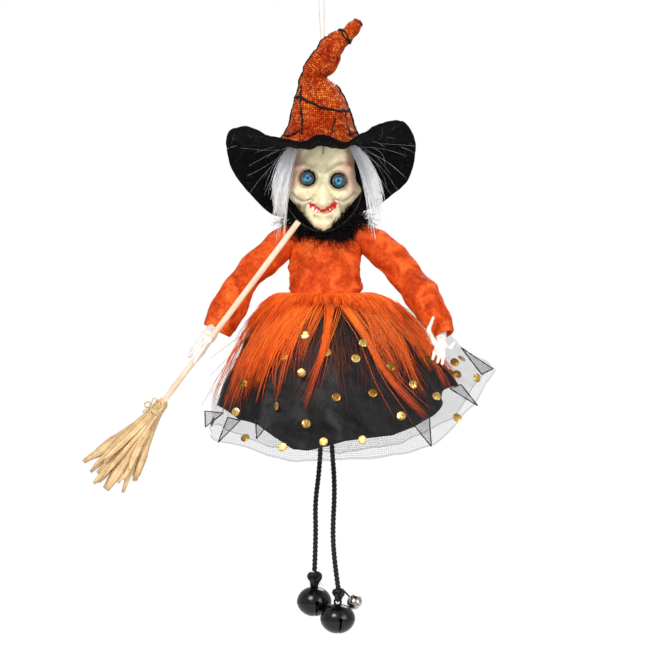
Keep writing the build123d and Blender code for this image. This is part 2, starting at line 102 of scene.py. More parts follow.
class Look:
    """A material's node tree, with short calls for the nodes that are used here."""

    def __init__(self, name, **settings):
        self.material = bpy.data.materials.new(name)
        self.material.use_nodes = True
        self.tree = self.material.node_tree
        self.shader = self.tree.nodes["Principled BSDF"]
        self.place = self.node("TexCoord").outputs["Object"]
        self.set(**settings)

    def node(self, kind, inputs=None, **settings):
        made = self.tree.nodes.new("ShaderNode" + kind)
        for key, value in settings.items():
            setattr(made, key, value)
        for key, value in (inputs or {}).items():
            self.put(made.inputs[key], value)
        return made

    def put(self, socket, value):
        if isinstance(value, bpy.types.NodeSocket):
            self.tree.links.new(value, socket)
        else:
            socket.default_value = value

    def set(self, **settings):
        for key, value in settings.items():
            self.put(self.shader.inputs[key.replace("_", " ")], value)

    def turned(self, direction, scale):
        """Places stretched by scale along axes whose Z is the given direction."""
        turn = Vector(direction).to_track_quat("Z", "Y").inverted().to_euler()
        first = self.node("Mapping", {"Vector": self.place, "Rotation": turn})
        return self.node("Mapping", {"Vector": first.outputs[0], "Scale": scale}).outputs[0]

    def noise(self, size, detail=3.0, place=None, distortion=0.0):
        """Cloudy noise with features about size millimetres across."""
        return self.node("TexNoise", {
            "Vector": place or self.place, "Scale": 1 / (size * MM),
            "Detail": detail, "Distortion": distortion}).outputs["Fac"]

    def ramp(self, value, *stops):
        """Colours at places from 0 to 1."""
        made = self.node("ValToRGB", {"Fac": value})
        elements = made.color_ramp.elements
        while len(elements) < len(stops):
            elements.new(0.5)
        for element, (position, colour) in zip(elements, stops):
            element.position = position
            element.color = colour if hasattr(colour, "__len__") else (colour,) * 3 + (1,)
        return made.outputs["Color"]

    def mix(self, amount, first, second, how="MIX"):
        made = self.node("Mix", data_type="RGBA", blend_type=how)
        for socket, value in ((0, amount), (6, first), (7, second)):
            self.put(made.inputs[socket], value)
        return made.outputs[2]

    def times(self, first, second):
        return self.mix(1.0, first, second, "MULTIPLY")

    def tint(self):
        """The piece's own colours."""
        return self.node("Attribute", attribute_name="tint").outputs["Color"]

    def wandering(self, scale, amount):
        """UVs in metres, moved about by soft noise."""
        uv = self.node("UVMap").outputs[0]
        drift = self.node("TexNoise", {"Vector": uv, "Scale": scale, "Detail": 2.0})
        shift = self.node("VectorMath", {0: drift.outputs["Color"], "Scale": amount},
                          operation="SCALE")
        return self.node("VectorMath", {0: uv, 1: shift.outputs[0]}, operation="ADD").outputs[0]

    def maths(self, operation, first, second=0.0):
        made = self.node("Math", operation=operation)
        self.put(made.inputs[0], first)
        self.put(made.inputs[1], second)
        return made.outputs[0]

    def bump(self, height, depth, strength=1.0):
        """Relief of depth millimetres, added to any that the shader has already."""
        made = self.node("Bump", {"Height": height, "Distance": depth * MM, "Strength": strength})
        before = self.shader.inputs["Normal"].links
        if before:
            self.put(made.inputs["Normal"], before[0].from_socket)
        self.put(self.shader.inputs["Normal"], made.outputs[0])


def grainy(name, dark, light, size, depth, roughness, coarse=8.0, place=None, **settings):
    """A finish of two colours in fine grain over broad clouds, with matching relief."""
    look = Look(name, **settings)
    where = place(look) if place else look.place
    fine = look.noise(size, 4.0, where)
    broad = look.noise(coarse)
    both = look.maths("ADD", look.maths("MULTIPLY", fine, 0.65),
                      look.maths("MULTIPLY", broad, 0.35))
    look.set(Base_Color=look.ramp(both, (0.36, dark), (0.64, light)))
    low, high = roughness
    look.set(Roughness=look.ramp(fine, (0.3, low), (0.7, high)))
    look.bump(fine, depth)
    return look.material


def ply_place(scale):
    """Places stretched along a piece's own length, from its UVs in metres."""
    return lambda look: look.node(
        "Mapping", {"Vector": look.node("UVMap").outputs[0], "Scale": scale}).outputs[0]


def weave(look, pitch, wander):
    """Height of a plain weave of that pitch, whose threads stray over wander millimetres."""
    moved = look.wandering(1 / (wander * MM), pitch * MM * 1.3)
    split = look.node("SeparateXYZ", {0: moved})
    waves = [look.maths("SINE", look.maths("MULTIPLY", split.outputs[axis], math.pi / (pitch * MM)))
             for axis in (0, 1)]
    over = look.maths("GREATER_THAN", look.maths("MULTIPLY", *waves), 0.0)
    rises = [look.maths("ABSOLUTE", wave) for wave in waves]
    made = look.node("Mix", {"Factor": over}, data_type="FLOAT")
    look.put(made.inputs[2], rises[0])
    look.put(made.inputs[3], rises[1])
    return made.outputs[0]


def hat_cloth():
    look = Look("hat_cloth", Specular_IOR_Level=0.06)
    threads = weave(look, 1.05, 4.0)
    glint = look.noise(1.5, 2.0)
    cloud = look.noise(11.0, 3.0)
    sparkle = look.ramp(glint, (0.4, 0.6), (0.66, 1.15))
    # The colour follows the threads times the glint: darker in the gaps between threads, which is
    # painted shade, and bright glints on the thread tops, which are painted highlights.
    height = look.maths("MULTIPLY", threads, sparkle)
    base = look.ramp(height, (0.1, srgb(84, 17, 4)), (0.45, srgb(188, 54, 14)),
                     (0.8, srgb(228, 96, 28)), (0.97, srgb(255, 176, 84)))
    shade = look.ramp(cloud, (0.35, srgb(196, 140, 120)), (0.62, WHITE))
    look.set(Base_Color=look.times(base, shade),
             Roughness=look.ramp(glint, (0.4, 0.7), (0.62, 0.34)),
             Metallic=look.ramp(glint, (0.5, 0.0), (0.66, 0.12)))
    look.bump(threads, 0.35)
    return look.material


def felt(name):
    look = Look(name, Roughness=0.95, Specular_IOR_Level=0.08)
    fibre = look.noise(0.7, 5.0, distortion=1.2)
    cloud = look.noise(14.0, 3.0)
    base = look.ramp(fibre, (0.35, srgb(5, 5, 6)), (0.62, srgb(15, 15, 17)),
                     (0.8, srgb(36, 36, 39)))
    shade = look.ramp(cloud, (0.3, 0.62), (0.7, 1.0))
    look.set(Base_Color=look.times(base, shade))
    look.bump(fibre, 0.22)
    look.bump(cloud, 0.8, 0.5)
    return look.material


def painted(name, roughness, coat, relief, subsurface=0.0):
    """A painted finish whose colours are in the piece's own tint."""
    look = Look(name, Coat_Weight=coat, Coat_Roughness=0.2)
    look.set(Subsurface_Weight=subsurface, Subsurface_Scale=0.0012)
    fine = look.noise(0.9, 4.0)
    shade = look.ramp(look.noise(5.0), (0.32, srgb(232, 224, 212)), (0.6, WHITE))
    look.set(Base_Color=look.times(look.tint(), shade),
             Roughness=look.ramp(fine, (0.3, roughness), (0.7, roughness + 0.16)))
    look.bump(fine, relief)
    return look.material


def fibres(name, roughness, shine, glow=0.0):
    """Hair or fur whose colours along each fibre are in the piece's own tint.

    The glow stands in for light that passes from one pale fibre to the next.
    """
    look = Look(name, Roughness=roughness, Specular_IOR_Level=shine)
    streak = look.noise(0.8, 2.0)
    colour = look.times(look.tint(), look.ramp(streak, (0.3, 0.78), (0.66, 1.0)))
    look.set(Base_Color=colour, Emission_Color=colour, Emission_Strength=glow)
    look.bump(streak, 0.04)
    return look.material


def velvet():
    look = Look("orange_velvet", Sheen_Weight=0.3, Sheen_Roughness=0.4)
    look.set(Sheen_Tint=srgb(255, 130, 50), Specular_IOR_Level=0.12)
    crush_and_sheen = look.noise(10.0, 3.0, distortion=0.9)
    pile = look.noise(0.55, 3.0)
    streak = look.noise(3.2, 4.0, distortion=1.6)
    # The crushed pile's lighter and darker patches are partly the velvet's own tone and partly
    # painted sheen.
    base = look.ramp(crush_and_sheen, (0.33, srgb(176, 54, 10)), (0.5, srgb(208, 74, 18)),
                     (0.66, srgb(238, 104, 40)))
    shade = look.ramp(streak, (0.34, srgb(224, 206, 196)), (0.6, WHITE))
    grain = look.ramp(pile, (0.3, srgb(240, 234, 230)), (0.65, WHITE))
    look.set(Base_Color=look.times(look.times(base, shade), grain),
             Roughness=look.ramp(streak, (0.35, 0.86), (0.65, 0.6)))
    look.bump(pile, 0.08)
    look.bump(crush_and_sheen, 0.9, 0.4)
    look.bump(streak, 0.4, 0.4)
    return look.material


def satin():
    look = Look("black_satin")
    threads = weave(look, 0.32, 6.0)
    cloud = look.noise(16.0, 3.0)
    crease = look.noise(7.0, 4.0, distortion=0.6)
    fleck = look.noise(0.5, 2.0)
    base = look.ramp(fleck, (0.32, srgb(6, 5, 6)), (0.7, srgb(20, 18, 20)))
    look.set(Base_Color=base, Roughness=look.ramp(cloud, (0.3, 0.3), (0.7, 0.46)),
             Specular_IOR_Level=0.16)
    look.bump(threads, 0.03, 0.6)
    look.bump(crease, 1.3, 0.5)
    return look.material


def net():
    """Fine net: dark threads round open cells, which are see-through."""
    look = Look("black_tulle", Roughness=0.7)
    moved = look.wandering(260.0, 0.0011)
    cells = look.node("TexVoronoi", {"Vector": moved, "Scale": 1 / (0.95 * MM), "Randomness": 0.3},
                      feature="DISTANCE_TO_EDGE", voronoi_dimensions="2D").outputs["Distance"]
    thread = look.maths("LESS_THAN", cells, 0.045)
    edge = look.node("Attribute", attribute_name="edge").outputs["Fac"]
    dark = look.ramp(look.noise(2.0), (0.3, srgb(12, 12, 14)), (0.7, srgb(38, 38, 42)))
    look.set(Alpha=look.maths("MAXIMUM", thread, edge), Base_Color=dark)
    look.bump(cells, 0.05)
    return look.material


def foil():
    look = Look("gold_foil", Metallic=1.0)
    patch = look.noise(1.1, 4.0)
    # Some dots are made duller than others, over broad random patches.
    broad_dimming = look.ramp(look.noise(22.0, 1.0), (0.4, srgb(168, 140, 104)), (0.58, WHITE))
    gold = look.ramp(patch, (0.32, srgb(136, 98, 44)), (0.5, srgb(206, 166, 88)),
                     (0.7, srgb(250, 232, 168)))
    look.set(Base_Color=look.times(gold, broad_dimming),
             Roughness=look.ramp(patch, (0.3, 0.5), (0.7, 0.22)))
    look.bump(patch, 0.12)
    return look.material


def enamel():
    look = Look("black_enamel")
    peel = look.noise(1.1, 3.0)
    scuff = look.noise(2.6, 6.0, distortion=0.5)
    look.set(Base_Color=look.ramp(scuff, (0.5, srgb(7, 7, 8)), (0.85, srgb(30, 30, 30))),
             Roughness=look.ramp(scuff, (0.3, 0.11), (0.75, 0.3)), Specular_IOR_Level=0.35)
    look.bump(peel, 0.07)
    return look.material


STICK_WAY = (-71.5, 22.0, -93.9)
LOOKS = {
    "thread": grainy("thread", srgb(176, 150, 134), srgb(232, 216, 202), 0.25, 0.06, (0.7, 0.9)),
    "hat_cloth": hat_cloth(),
    "black_lace": grainy("black_lace", srgb(8, 7, 9), srgb(38, 30, 34), 0.35, 0.12, (0.6, 0.9),
                         Specular_IOR_Level=0.15),
    "fibre_fill": grainy("fibre_fill", srgb(196, 194, 188), srgb(246, 246, 242), 0.8, 0.5,
                         (0.8, 1.0)),
    "black_felt": felt("black_felt"),
    "mask": painted("mask", 0.4, 0.1, 0.05, 0.08),
    "eye_bead": painted("eye_bead", 0.12, 0.8, 0.01),
    "neck_foam": grainy("neck_foam", srgb(188, 184, 172), srgb(240, 238, 230), 1.6, 0.4,
                        (0.7, 0.95)),
    "white_hair": fibres("white_hair", 0.42, 0.4, 0.12),
    "black_cord": grainy("black_cord", srgb(12, 12, 13), srgb(52, 50, 52), 0.3, 0.1, (0.55, 0.85)),
    "raw_wood": grainy("raw_wood", srgb(206, 170, 138), srgb(244, 220, 196), 0.5, 0.08,
                       (0.55, 0.8), coarse=14.0,
                       place=lambda look: look.turned(STICK_WAY, (1, 1, 0.04))),
    "wire": grainy("wire", srgb(108, 108, 112), srgb(184, 184, 190), 0.6, 0.01, (0.25, 0.5),
                   Metallic=1.0),
    "orange_velvet": velvet(),
    "black_yarn": fibres("black_yarn", 0.6, 0.08),
    "black_satin": satin(),
    "black_tulle": net(),
    "orange_fur": fibres("orange_fur", 0.5, 0.12, 0.2),
    "straw": grainy("straw", srgb(176, 130, 80), srgb(238, 208, 158), 1.2, 0.1, (0.5, 0.8),
                    coarse=6.0, place=ply_place((2.2, 0.05, 1.0))),
    "string": grainy("string", srgb(160, 124, 74), srgb(228, 200, 150), 0.3, 0.1, (0.7, 0.9)),
    "hand_plastic": grainy("hand_plastic", srgb(206, 196, 184), srgb(238, 233, 226), 2.4, 0.05,
                           (0.35, 0.6), coarse=8.0, Coat_Weight=0.1),
    "leg_cord": grainy("leg_cord", srgb(7, 7, 8), srgb(34, 33, 34), 0.3, 0.1, (0.4, 0.7),
                       Specular_IOR_Level=0.25),
    "black_enamel": enamel(),
    "nickel": grainy("nickel", srgb(120, 112, 102), srgb(212, 204, 192), 1.4, 0.04, (0.15, 0.4),
                     Metallic=1.0),
    "steel_ball": grainy("steel_ball", srgb(96, 94, 92), srgb(170, 168, 166), 1.2, 0.03,
                         (0.25, 0.5), Metallic=1.0),
    "gold_foil": foil(),
}
for part in frame["record"]["subparts"]:
    solid = frame["nodes"][part["node"]]
    if not solid.material_slots:
        solid.data.materials.append(None)
    for held in solid.material_slots:
        held.material = LOOKS[part["material_slot"]]


# ---------------------------------------------------------------- shape helpers

def rows_of(points, count, closed=False):
    """Rows of numbers along a smooth curve through the given rows."""
    known = np.array(points, float)
    size = len(known)
    spans = size if closed else size - 1
    along = np.linspace(0, spans, count, endpoint=not closed)
    first = np.minimum(along.astype(int), spans - 1)
    part = (along - first)[:, None]

    def at(index):
        return known[index % size] if closed else known[np.clip(index, 0, size - 1)]

    a, b, c, d = at(first - 1), at(first), at(first + 1), at(first + 2)
    return 0.5 * (2 * b + (c - a) * part + (2 * a - 5 * b + 4 * c - d) * part**2
                  + (3 * b - a - 3 * c + d) * part**3)


def ripple(points, size, seed, octaves=3):
    """A smooth seeded field, mostly from -1 to 1, with features about size mm across."""
    draw = np.random.default_rng(seed)
    total = np.zeros(points.shape[:-1])
    for octave in range(octaves):
        for _ in range(5):
            way = draw.normal(size=3)
            way *= 2 * math.pi / size * 1.8**octave * draw.uniform(0.6, 1.2) / np.linalg.norm(way)
            total += 0.55**octave * np.sin(points @ way + draw.uniform(0, 2 * math.pi))
    return total / 3


def stacked(*parts):
    """Points from their x, y and z, which may be of different shapes."""
    return np.stack(np.broadcast_arrays(*parts), -1)


def round_from_back(columns):
    """Angles once round from the back, as one row; the front is at half way."""
    return np.linspace(0, 2 * math.pi, columns)[None, :] + math.pi / 2


def unit(vectors):
    return vectors / np.maximum(np.linalg.norm(vectors, axis=-1, keepdims=True), 1e-9)


def grid_faces(rows, columns, wrap=False):
    """Four-sided faces over rows of points, joined round if wrap is set."""
    row = np.arange(rows - 1)[:, None]
    here = np.arange(columns if wrap else columns - 1)[None, :]
    after = (here + 1) % columns
    faces = np.stack([row * columns + here, row * columns + after,
                      (row + 1) * columns + after, (row + 1) * columns + here], -1)
    return faces.reshape(-1, 4)


def grid_normals(points):
    """Unit normals of a grid of points."""
    down, across = np.gradient(points, axis=0), np.gradient(points, axis=1)
    return unit(np.cross(across, down))


def cloth_uv(points):
    """UVs in metres, with widths true along each row from its middle column."""
    across = np.linalg.norm(np.diff(points, axis=1), axis=2)
    down = np.linalg.norm(np.diff(points, axis=0), axis=2).mean(axis=1)
    u = np.concatenate([np.zeros((len(points), 1)), np.cumsum(across, axis=1)], axis=1)
    u -= u[:, u.shape[1] // 2][:, None]
    v = np.append(0, np.cumsum(down))
    return stacked(u, v[:, None]) * MM


def make_mesh(name, points, faces, look, uv=None, tint=None, edge=None, smooth=True):
    """A mesh object from points in millimetres, with optional UVs, tint and edge values."""
    mesh = bpy.data.meshes.new(name)
    mesh.from_pydata((np.asarray(points).reshape(-1, 3) * MM).tolist(), [],
                     [list(face) for face in faces])
    if smooth:
        mesh.shade_smooth()
    if uv is not None:
        corners = np.zeros(len(mesh.loops), int)
        mesh.loops.foreach_get("vertex_index", corners)
        layer = mesh.uv_layers.new(name="UVMap")
        layer.data.foreach_set("uv", np.asarray(uv).reshape(-1, 2)[corners].ravel())
    if tint is not None:
        colours = np.asarray(tint, float).reshape(-1, 3)
        layer = mesh.attributes.new("tint", "FLOAT_COLOR", "POINT")
        layer.data.foreach_set("color", np.c_[colours, np.ones(len(colours))].ravel())
    if edge is not None:
        layer = mesh.attributes.new("edge", "FLOAT", "POINT")
        layer.data.foreach_set("value", np.asarray(edge, float).ravel())
    mesh.materials.append(LOOKS[look])
    made = add_object(name, mesh)
    return made


def make_cloth(name, points, look, **more):
    """A mesh from a grid of points, with true UVs for its weave."""
    rows, columns, _ = points.shape
    return make_mesh(name, points, grid_faces(rows, columns), look, cloth_uv(points), **more)


def finished(made):
    """The object with its modifiers applied."""
    bpy.context.view_layer.update()
    graph = bpy.context.evaluated_depsgraph_get()
    mesh = bpy.data.meshes.new_from_object(made.evaluated_get(graph), depsgraph=graph)
    made.modifiers.clear()
    made.data = mesh
    return made


def thickened(made, thickness, offset):
    """The sheet as a solid of that thickness, centred on it where the offset is 0."""
    solid = made.modifiers.new("thickness", "SOLIDIFY")
    solid.thickness, solid.offset = thickness * MM, offset
    return finished(made)


def frames(path):
    """Unit tangents and two steady side directions along a path."""
    tangents = unit(np.gradient(path, axis=0))
    side = np.cross(tangents[0], (0.31, 0.87, 0.38))
    sides = np.zeros_like(path)
    for i, tangent in enumerate(tangents):
        side = side - side @ tangent * tangent
        side /= np.linalg.norm(side)
        sides[i] = side
    return tangents, sides, np.cross(tangents, sides)


def tube(path, radii, corners=8, flat=1.0):
    """Points, faces and UVs of a closed tube along a path; flat below 1 makes a strip."""
    path = np.asarray(path, float)
    radii = np.broadcast_to(np.asarray(radii, float), len(path))
    _, first, second = frames(path)
    turn = np.linspace(0, 2 * math.pi, corners, endpoint=False)
    ring = (np.cos(turn)[None, :, None] * first[:, None]
            + flat * np.sin(turn)[None, :, None] * second[:, None])
    points = path[:, None] + radii[:, None, None] * ring
    faces = [*grid_faces(len(path), corners, True).tolist(), list(range(corners))[::-1],
             list(range((len(path) - 1) * corners, len(path) * corners))]
    length = np.append(0, np.cumsum(np.linalg.norm(np.diff(path, axis=0), axis=1)))
    round_it = np.abs(turn - math.pi)[None, :] * radii.mean()
    uv = stacked(round_it, length[:, None]) * MM
    return points.reshape(-1, 3), faces, uv.reshape(-1, 2)


def joined(parts):
    """Several lots of points, faces and UVs as one."""
    points, faces, uvs, count = [], [], [], 0
    for part_points, part_faces, part_uvs in parts:
        points.append(part_points)
        faces += [[corner + count for corner in face] for face in part_faces]
        uvs.append(part_uvs)
        count += len(part_points)
    return np.concatenate(points), faces, np.concatenate(uvs)


def make_joined(name, parts, look, **more):
    """One mesh from several lots of points, faces and UVs."""
    points, faces, uv = joined(parts)
    return make_mesh(name, points, faces, look, uv, **more)


STRAND_SIDES = 3


def strands(paths, radii):
    """Points and faces of many thin tapered fibres; paths is fibres x points x 3."""
    many, count, _ = paths.shape
    corners = STRAND_SIDES
    tangents = unit(np.gradient(paths, axis=1))
    chord = unit(paths[:, -1] - paths[:, 0] + 1e-6)
    side = unit(np.cross(chord, (0.31, 0.87, 0.38)))[:, None]
    first = unit(np.cross(tangents, side))
    second = np.cross(tangents, first)
    turn = np.linspace(0, 2 * math.pi, corners, endpoint=False)
    radii = np.broadcast_to(np.asarray(radii, float), (many, count))
    ring = (np.cos(turn)[:, None] * first[:, :, None] + np.sin(turn)[:, None] * second[:, :, None])
    points = paths[:, :, None] + radii[:, :, None, None] * ring
    one = grid_faces(count, corners, True)
    block = np.arange(many)[:, None, None] * count * corners
    faces = (one[None] + block).reshape(-1, 4).tolist()
    cap = np.arange(corners)
    ends = np.concatenate([cap[::-1] + block.reshape(-1, 1),
                           cap + (count - 1) * corners + block.reshape(-1, 1)])
    return points.reshape(-1, 3), faces + ends.tolist()


def strand_tint(paths, along, spread, seed):
    """Colours along each fibre, with each fibre a little lighter or darker."""
    many, count, _ = paths.shape
    draw = np.random.default_rng(seed)
    stops = rows_of([paint(*colour) for colour in along], count)
    each = draw.uniform(1 - spread, 1 + spread, (many, 1, 1))
    tint = np.clip(stops[None] * each, 0, 1)
    return np.repeat(tint[:, :, None], STRAND_SIDES, axis=2)


# ---------------------------------------------------------------- cords

def route_curve(name, points):
    """One open smooth spline with a route's points as its control points."""
    data = bpy.data.curves.new(name, "CURVE")
    data.dimensions = "3D"
    spline = data.splines.new("NURBS")
    spline.points.add(len(points) - 1)
    for point, place in zip(spline.points, points):
        point.co = (*(c * MM for c in place), 1.0)
    spline.order_u = 3
    spline.use_endpoint_u = True
    spline.resolution_u = 32
    return add_object(name, data)


def read_route(points, step):
    """Evenly spaced points along a route's smooth spline, and its length, in millimetres."""
    guide = route_curve("guide", points)
    mesh = bpy.data.meshes.new_from_object(guide)
    line = np.array([vertex.co for vertex in mesh.vertices], float) / MM
    bpy.data.objects.remove(guide)
    lengths = np.append(0, np.cumsum(np.linalg.norm(np.diff(line, axis=0), axis=1)))
    spots = np.linspace(0, lengths[-1], int(lengths[-1] / step) + 1)
    even = np.stack([np.interp(spots, lengths, line[:, axis]) for axis in range(3)], -1)
    return even, lengths[-1]


def plied(path, step, radius, reach, pitch, plies, braided):
    """Strands twisted or plaited about a path."""
    _, first, second = frames(path)
    along = np.arange(len(path)) * step
    parts = []
    for ply in range(plies):
        turn = 2 * math.pi * (along / pitch + ply / plies)
        a, b = (np.sin(turn), 0.5 * np.sin(2 * turn)) if braided else (np.sin(turn), np.cos(turn))
        centre = path + reach * (a[:, None] * first + b[:, None] * second)
        parts.append(tube(centre, radius, 7))
    return joined(parts)


def cord(name, route, body, look, diameter, plies, pitch, braided, **facts):
    """A free cord of twisted or plaited strands, in place of the CAD cord of its name."""
    step = diameter / 5
    path, length = read_route(route, step)
    radius, reach = (0.265, 0.29) if braided else (0.27, 0.23)
    points, faces, uv = plied(path, step, radius * diameter, reach * diameter, pitch, plies,
                              braided)
    made = make_mesh(name, points, faces, look, uv)
    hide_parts(name.removesuffix("_strands"))
    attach(made, body)
    return made


def cord_pieces():
    """The thread the figure hangs by, its legs, and the hat's elastic."""
    cord("hanging_loop_strands",
         [(0.3, 0, -37.3), (-2.4, 0, 0.25), (2.4, 0, 0.25), (1.3, 0, -37.3)],
         "hanging_thread", "thread", 0.5, 2, 1.7, False,
         far_end="object", stiffness="limp", lay="taut")
    legs = {
        "left": [(4.6, -5.7, -171.6), (4.2, -5.7, -208.0), (5.6, -5.7, -244.0),
                 (7.3, -5.7, -265.0), (6.0, -5.7, -288.0), (7.0, -5.7, -303.5),
                 (9.0, -5.7, -317.6)],
        "right": [(0.8, 5.7, -171.6), (0.6, 5.7, -208.0), (-0.1, 5.7, -244.0),
                  (-1.1, 5.7, -259.0), (-3.1, 5.7, -274.0), (-2.6, 5.7, -291.0),
                  (-3.4, 5.7, -309.6)],
    }
    for side, route in legs.items():
        cord(f"leg_cord_{side}_strands", route, f"leg_{side}", "leg_cord", 2.5, 3, 6.6, True,
             far_end="knot", stiffness="limp", lay="hanging", with_pieces=[leg_knot(side)])
    cord("hat_elastic_strands",
         [(-19.6, 1, -99), (-19.9, -2.6, -112), (-16.4, -7, -122.3), (-8.8, -11.6, -130.2),
          (0.6, -13.6, -133.8), (9.6, -11.8, -130.8), (17.8, -7.2, -122.6), (21.6, -2.8, -112),
          (21.8, 1, -99)],
         "head", "black_cord", 0.8, 2, 2.2, False, far_end="object", stiffness="limp", lay="taut")


# Each leg's knot: its middle and size, the middle of the bell below it, and a seed
KNOTS = {
    "left": ((9.1, -5.7, -320.4), 1.35, (8.7, -5.7, -333.0), 31),
    "right": ((-3.3, 5.7, -313.4), 1.6, (-3.5, 5.7, -325.4), 32),
}
SHANK_TOP, RING_RADIUS = 8.7, 1.8  # the first is above the bell's middle


def leg_knot(side):
    """The overhand knot at a leg's end, with its frayed tail and the ring it hangs the bell by."""
    centre, size, bell, seed = KNOTS[side]
    turn = np.linspace(0, 2 * math.pi, 60)
    knot = stacked(np.sin(turn) + 2 * np.sin(2 * turn), -np.sin(3 * turn),
                   np.cos(turn) - 2 * np.cos(2 * turn))
    parts = [tube(np.array(centre) + knot * (0.62, 0.95, 0.72) * size, 0.82 * size, 8)]
    link = np.array(bell) + (0, 0, SHANK_TOP + RING_RADIUS)
    ring = stacked(0, np.sin(turn), np.cos(turn)) * RING_RADIUS
    parts.append(tube(link + ring, 0.45, 7))
    draw = np.random.default_rng(seed)
    for _ in range(26):
        out = draw.normal(size=3) * (1, 1, 0.5)
        start = np.array(centre) + unit(out) * 1.2
        tip = start + out * 1.2 + (0, 0, draw.uniform(-4.5, 1.5))
        middle = (start + tip) / 2 + draw.normal(size=3) * 0.5
        parts.append(tube(rows_of([start, middle, tip], 6), [0.12, 0.12, 0.1, 0.09, 0.07, 0.03], 4))
    made = make_joined(f"leg_knot_{side}_tied", parts, "leg_cord")
    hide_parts(f"leg_knot_{side}")
    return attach(made, f"leg_{side}")


cord_pieces()


# ---------------------------------------------------------------- hat

# The hat's cone from its base to its tip: x, z, radius and lean to its left in degrees
CONE = [
    (-0.7, -93.0, 23.0, 0), (-0.4, -85.0, 20.6, 0), (0.0, -79.6, 18.2, 0), (0.0, -73.5, 15.9, 0),
    (-0.5, -65.0, 13.1, 1), (-1.0, -58.0, 10.4, 3), (-2.1, -53.8, 8.6, 7), (-3.3, -51.0, 6.3, 13),
    (-1.9, -48.6, 6.9, 21), (0.7, -45.3, 7.3, 28), (3.0, -41.8, 6.9, 31), (5.3, -37.3, 6.3, 34),
    (8.0, -34.0, 5.6, 39), (11.0, -31.6, 4.8, 43), (13.6, -29.8, 4.0, 46), (16.0, -27.7, 3.7, 45),
    (18.2, -25.3, 3.3, 43), (19.8, -23.2, 2.4, 42), (20.4, -22.5, 0.3, 42),
]
CONE_ROWS, CONE_COLUMNS = 190, 145
# The crown's hole in the brim: its middle, half width and half depth, and how it tilts back
HAT_X, HAT_Y, CROWN_WIDE, CROWN_DEEP = -0.7, 1.0, 19.0, 18.2
HAT_TILT = math.tan(math.radians(16))
STUFFING_WIDTH = 0.86  # as a share of the cone's, so that it stays inside the cloth


def cone_grid():
    """The hat's surface, and which way its rings face."""
    x, z, radius, lean = rows_of(CONE, CONE_ROWS).T[:, :, None]
    lean = np.radians(lean)
    turn = round_from_back(CONE_COLUMNS)
    across, deep = np.cos(turn) * radius, 0.96 * np.sin(turn) * radius
    points = stacked(x + across * np.cos(lean), deep, z - across * np.sin(lean))
    height = points[..., 2]
    out = unit(stacked(np.cos(turn), 0.96 * np.sin(turn), 0.25 + 0 * x))
    kink = np.exp(-(((height + 51.0) / 3.2) ** 2))
    above = np.clip((height + 50) / 12, 0, 1)
    fold = (0.5 * ripple(points, 11.0, 5) + 0.75 * kink * np.sin(3 * turn + 0.6 * height)
            + 0.28 * above * np.sin(1.25 * height + 2 * turn))
    taper = np.clip(radius / 4, 0, 1)
    points = points + out * (fold * taper)[..., None]
    skew = HAT_TILT * np.clip((-74 - z) / 17, 0, 1) ** 1.2
    points[..., 2] -= (points[..., 1] - HAT_Y) * skew
    points[..., 2] += 2.5 * np.clip((-86 - z) / 7, 0, 1) * np.cos(turn) ** 2
    return points, out


def on_cone(surface, out, turn_degrees, height, lift):
    """A point lifted off the cone, at an angle from the front and a height."""
    column = (turn_degrees + 180) / 360 * (CONE_COLUMNS - 1)
    column = int(round(column)) % (CONE_COLUMNS - 1)
    row = int(np.argmin(np.abs(surface[:, column, 2] - height)))
    return surface[row, column] + out[row, column] * lift


# Lines of the web on the cone: half width, and places as degrees from the front and height
WEB = [
    (0.62, [(-78, -63.5), (-50, -63.5), (-20, -66.5), (10, -69.5), (45, -70.5), (80, -69.5)]),
    (0.5, [(-62, -57), (-50, -63.5), (-42, -71), (-33, -77.5), (-24, -83.5)]),
    (0.5, [(-88, -78.5), (-66, -82.5), (-46, -83.5), (-30, -81.5)]),
    (0.32, [(26, -74.5), (20, -79), (14, -84)]),
    (0.32, [(62, -70), (50, -76), (46, -84)]),
    (0.45, [(-90, -31), (-90, -38), (-90, -46), (-88, -56), (-86, -66), (-84, -76), (-80, -86)]),
    (0.5, [(90, -56), (88, -66), (84, -76), (80, -85)]),
    (0.4, [(120, -62), (135, -72), (140, -85)]),
    (0.4, [(-130, -58), (-140, -70), (-150, -85)]),
    (0.4, [(178, -56), (176, -70), (172, -86)]),
    (0.5, [(80, -69.5), (120, -66.5), (150, -68.5), (179, -66), (-150, -68.5), (-110, -65.5),
           (-80, -63.5)]),
    (0.36, [(46, -83.5), (70, -81), (95, -84), (120, -80), (150, -84), (178, -80.5), (-150, -84),
            (-120, -80.5), (-88, -79)]),
]


def tip_band(centre, radius, lean, width):
    """A thick ring of lace round the bent tip."""
    turn = np.linspace(0, 2 * math.pi, 40)
    lean = math.radians(lean)
    across, deep = radius * np.cos(turn), radius * np.sin(turn)
    x, z = centre
    path = stacked(x + across * math.cos(lean), deep, z - across * math.sin(lean))
    path += ripple(path, 4.0, 9)[:, None] * 0.35
    return tube(path, width * (1 + 0.3 * ripple(path, 3.0, 12)), 6)


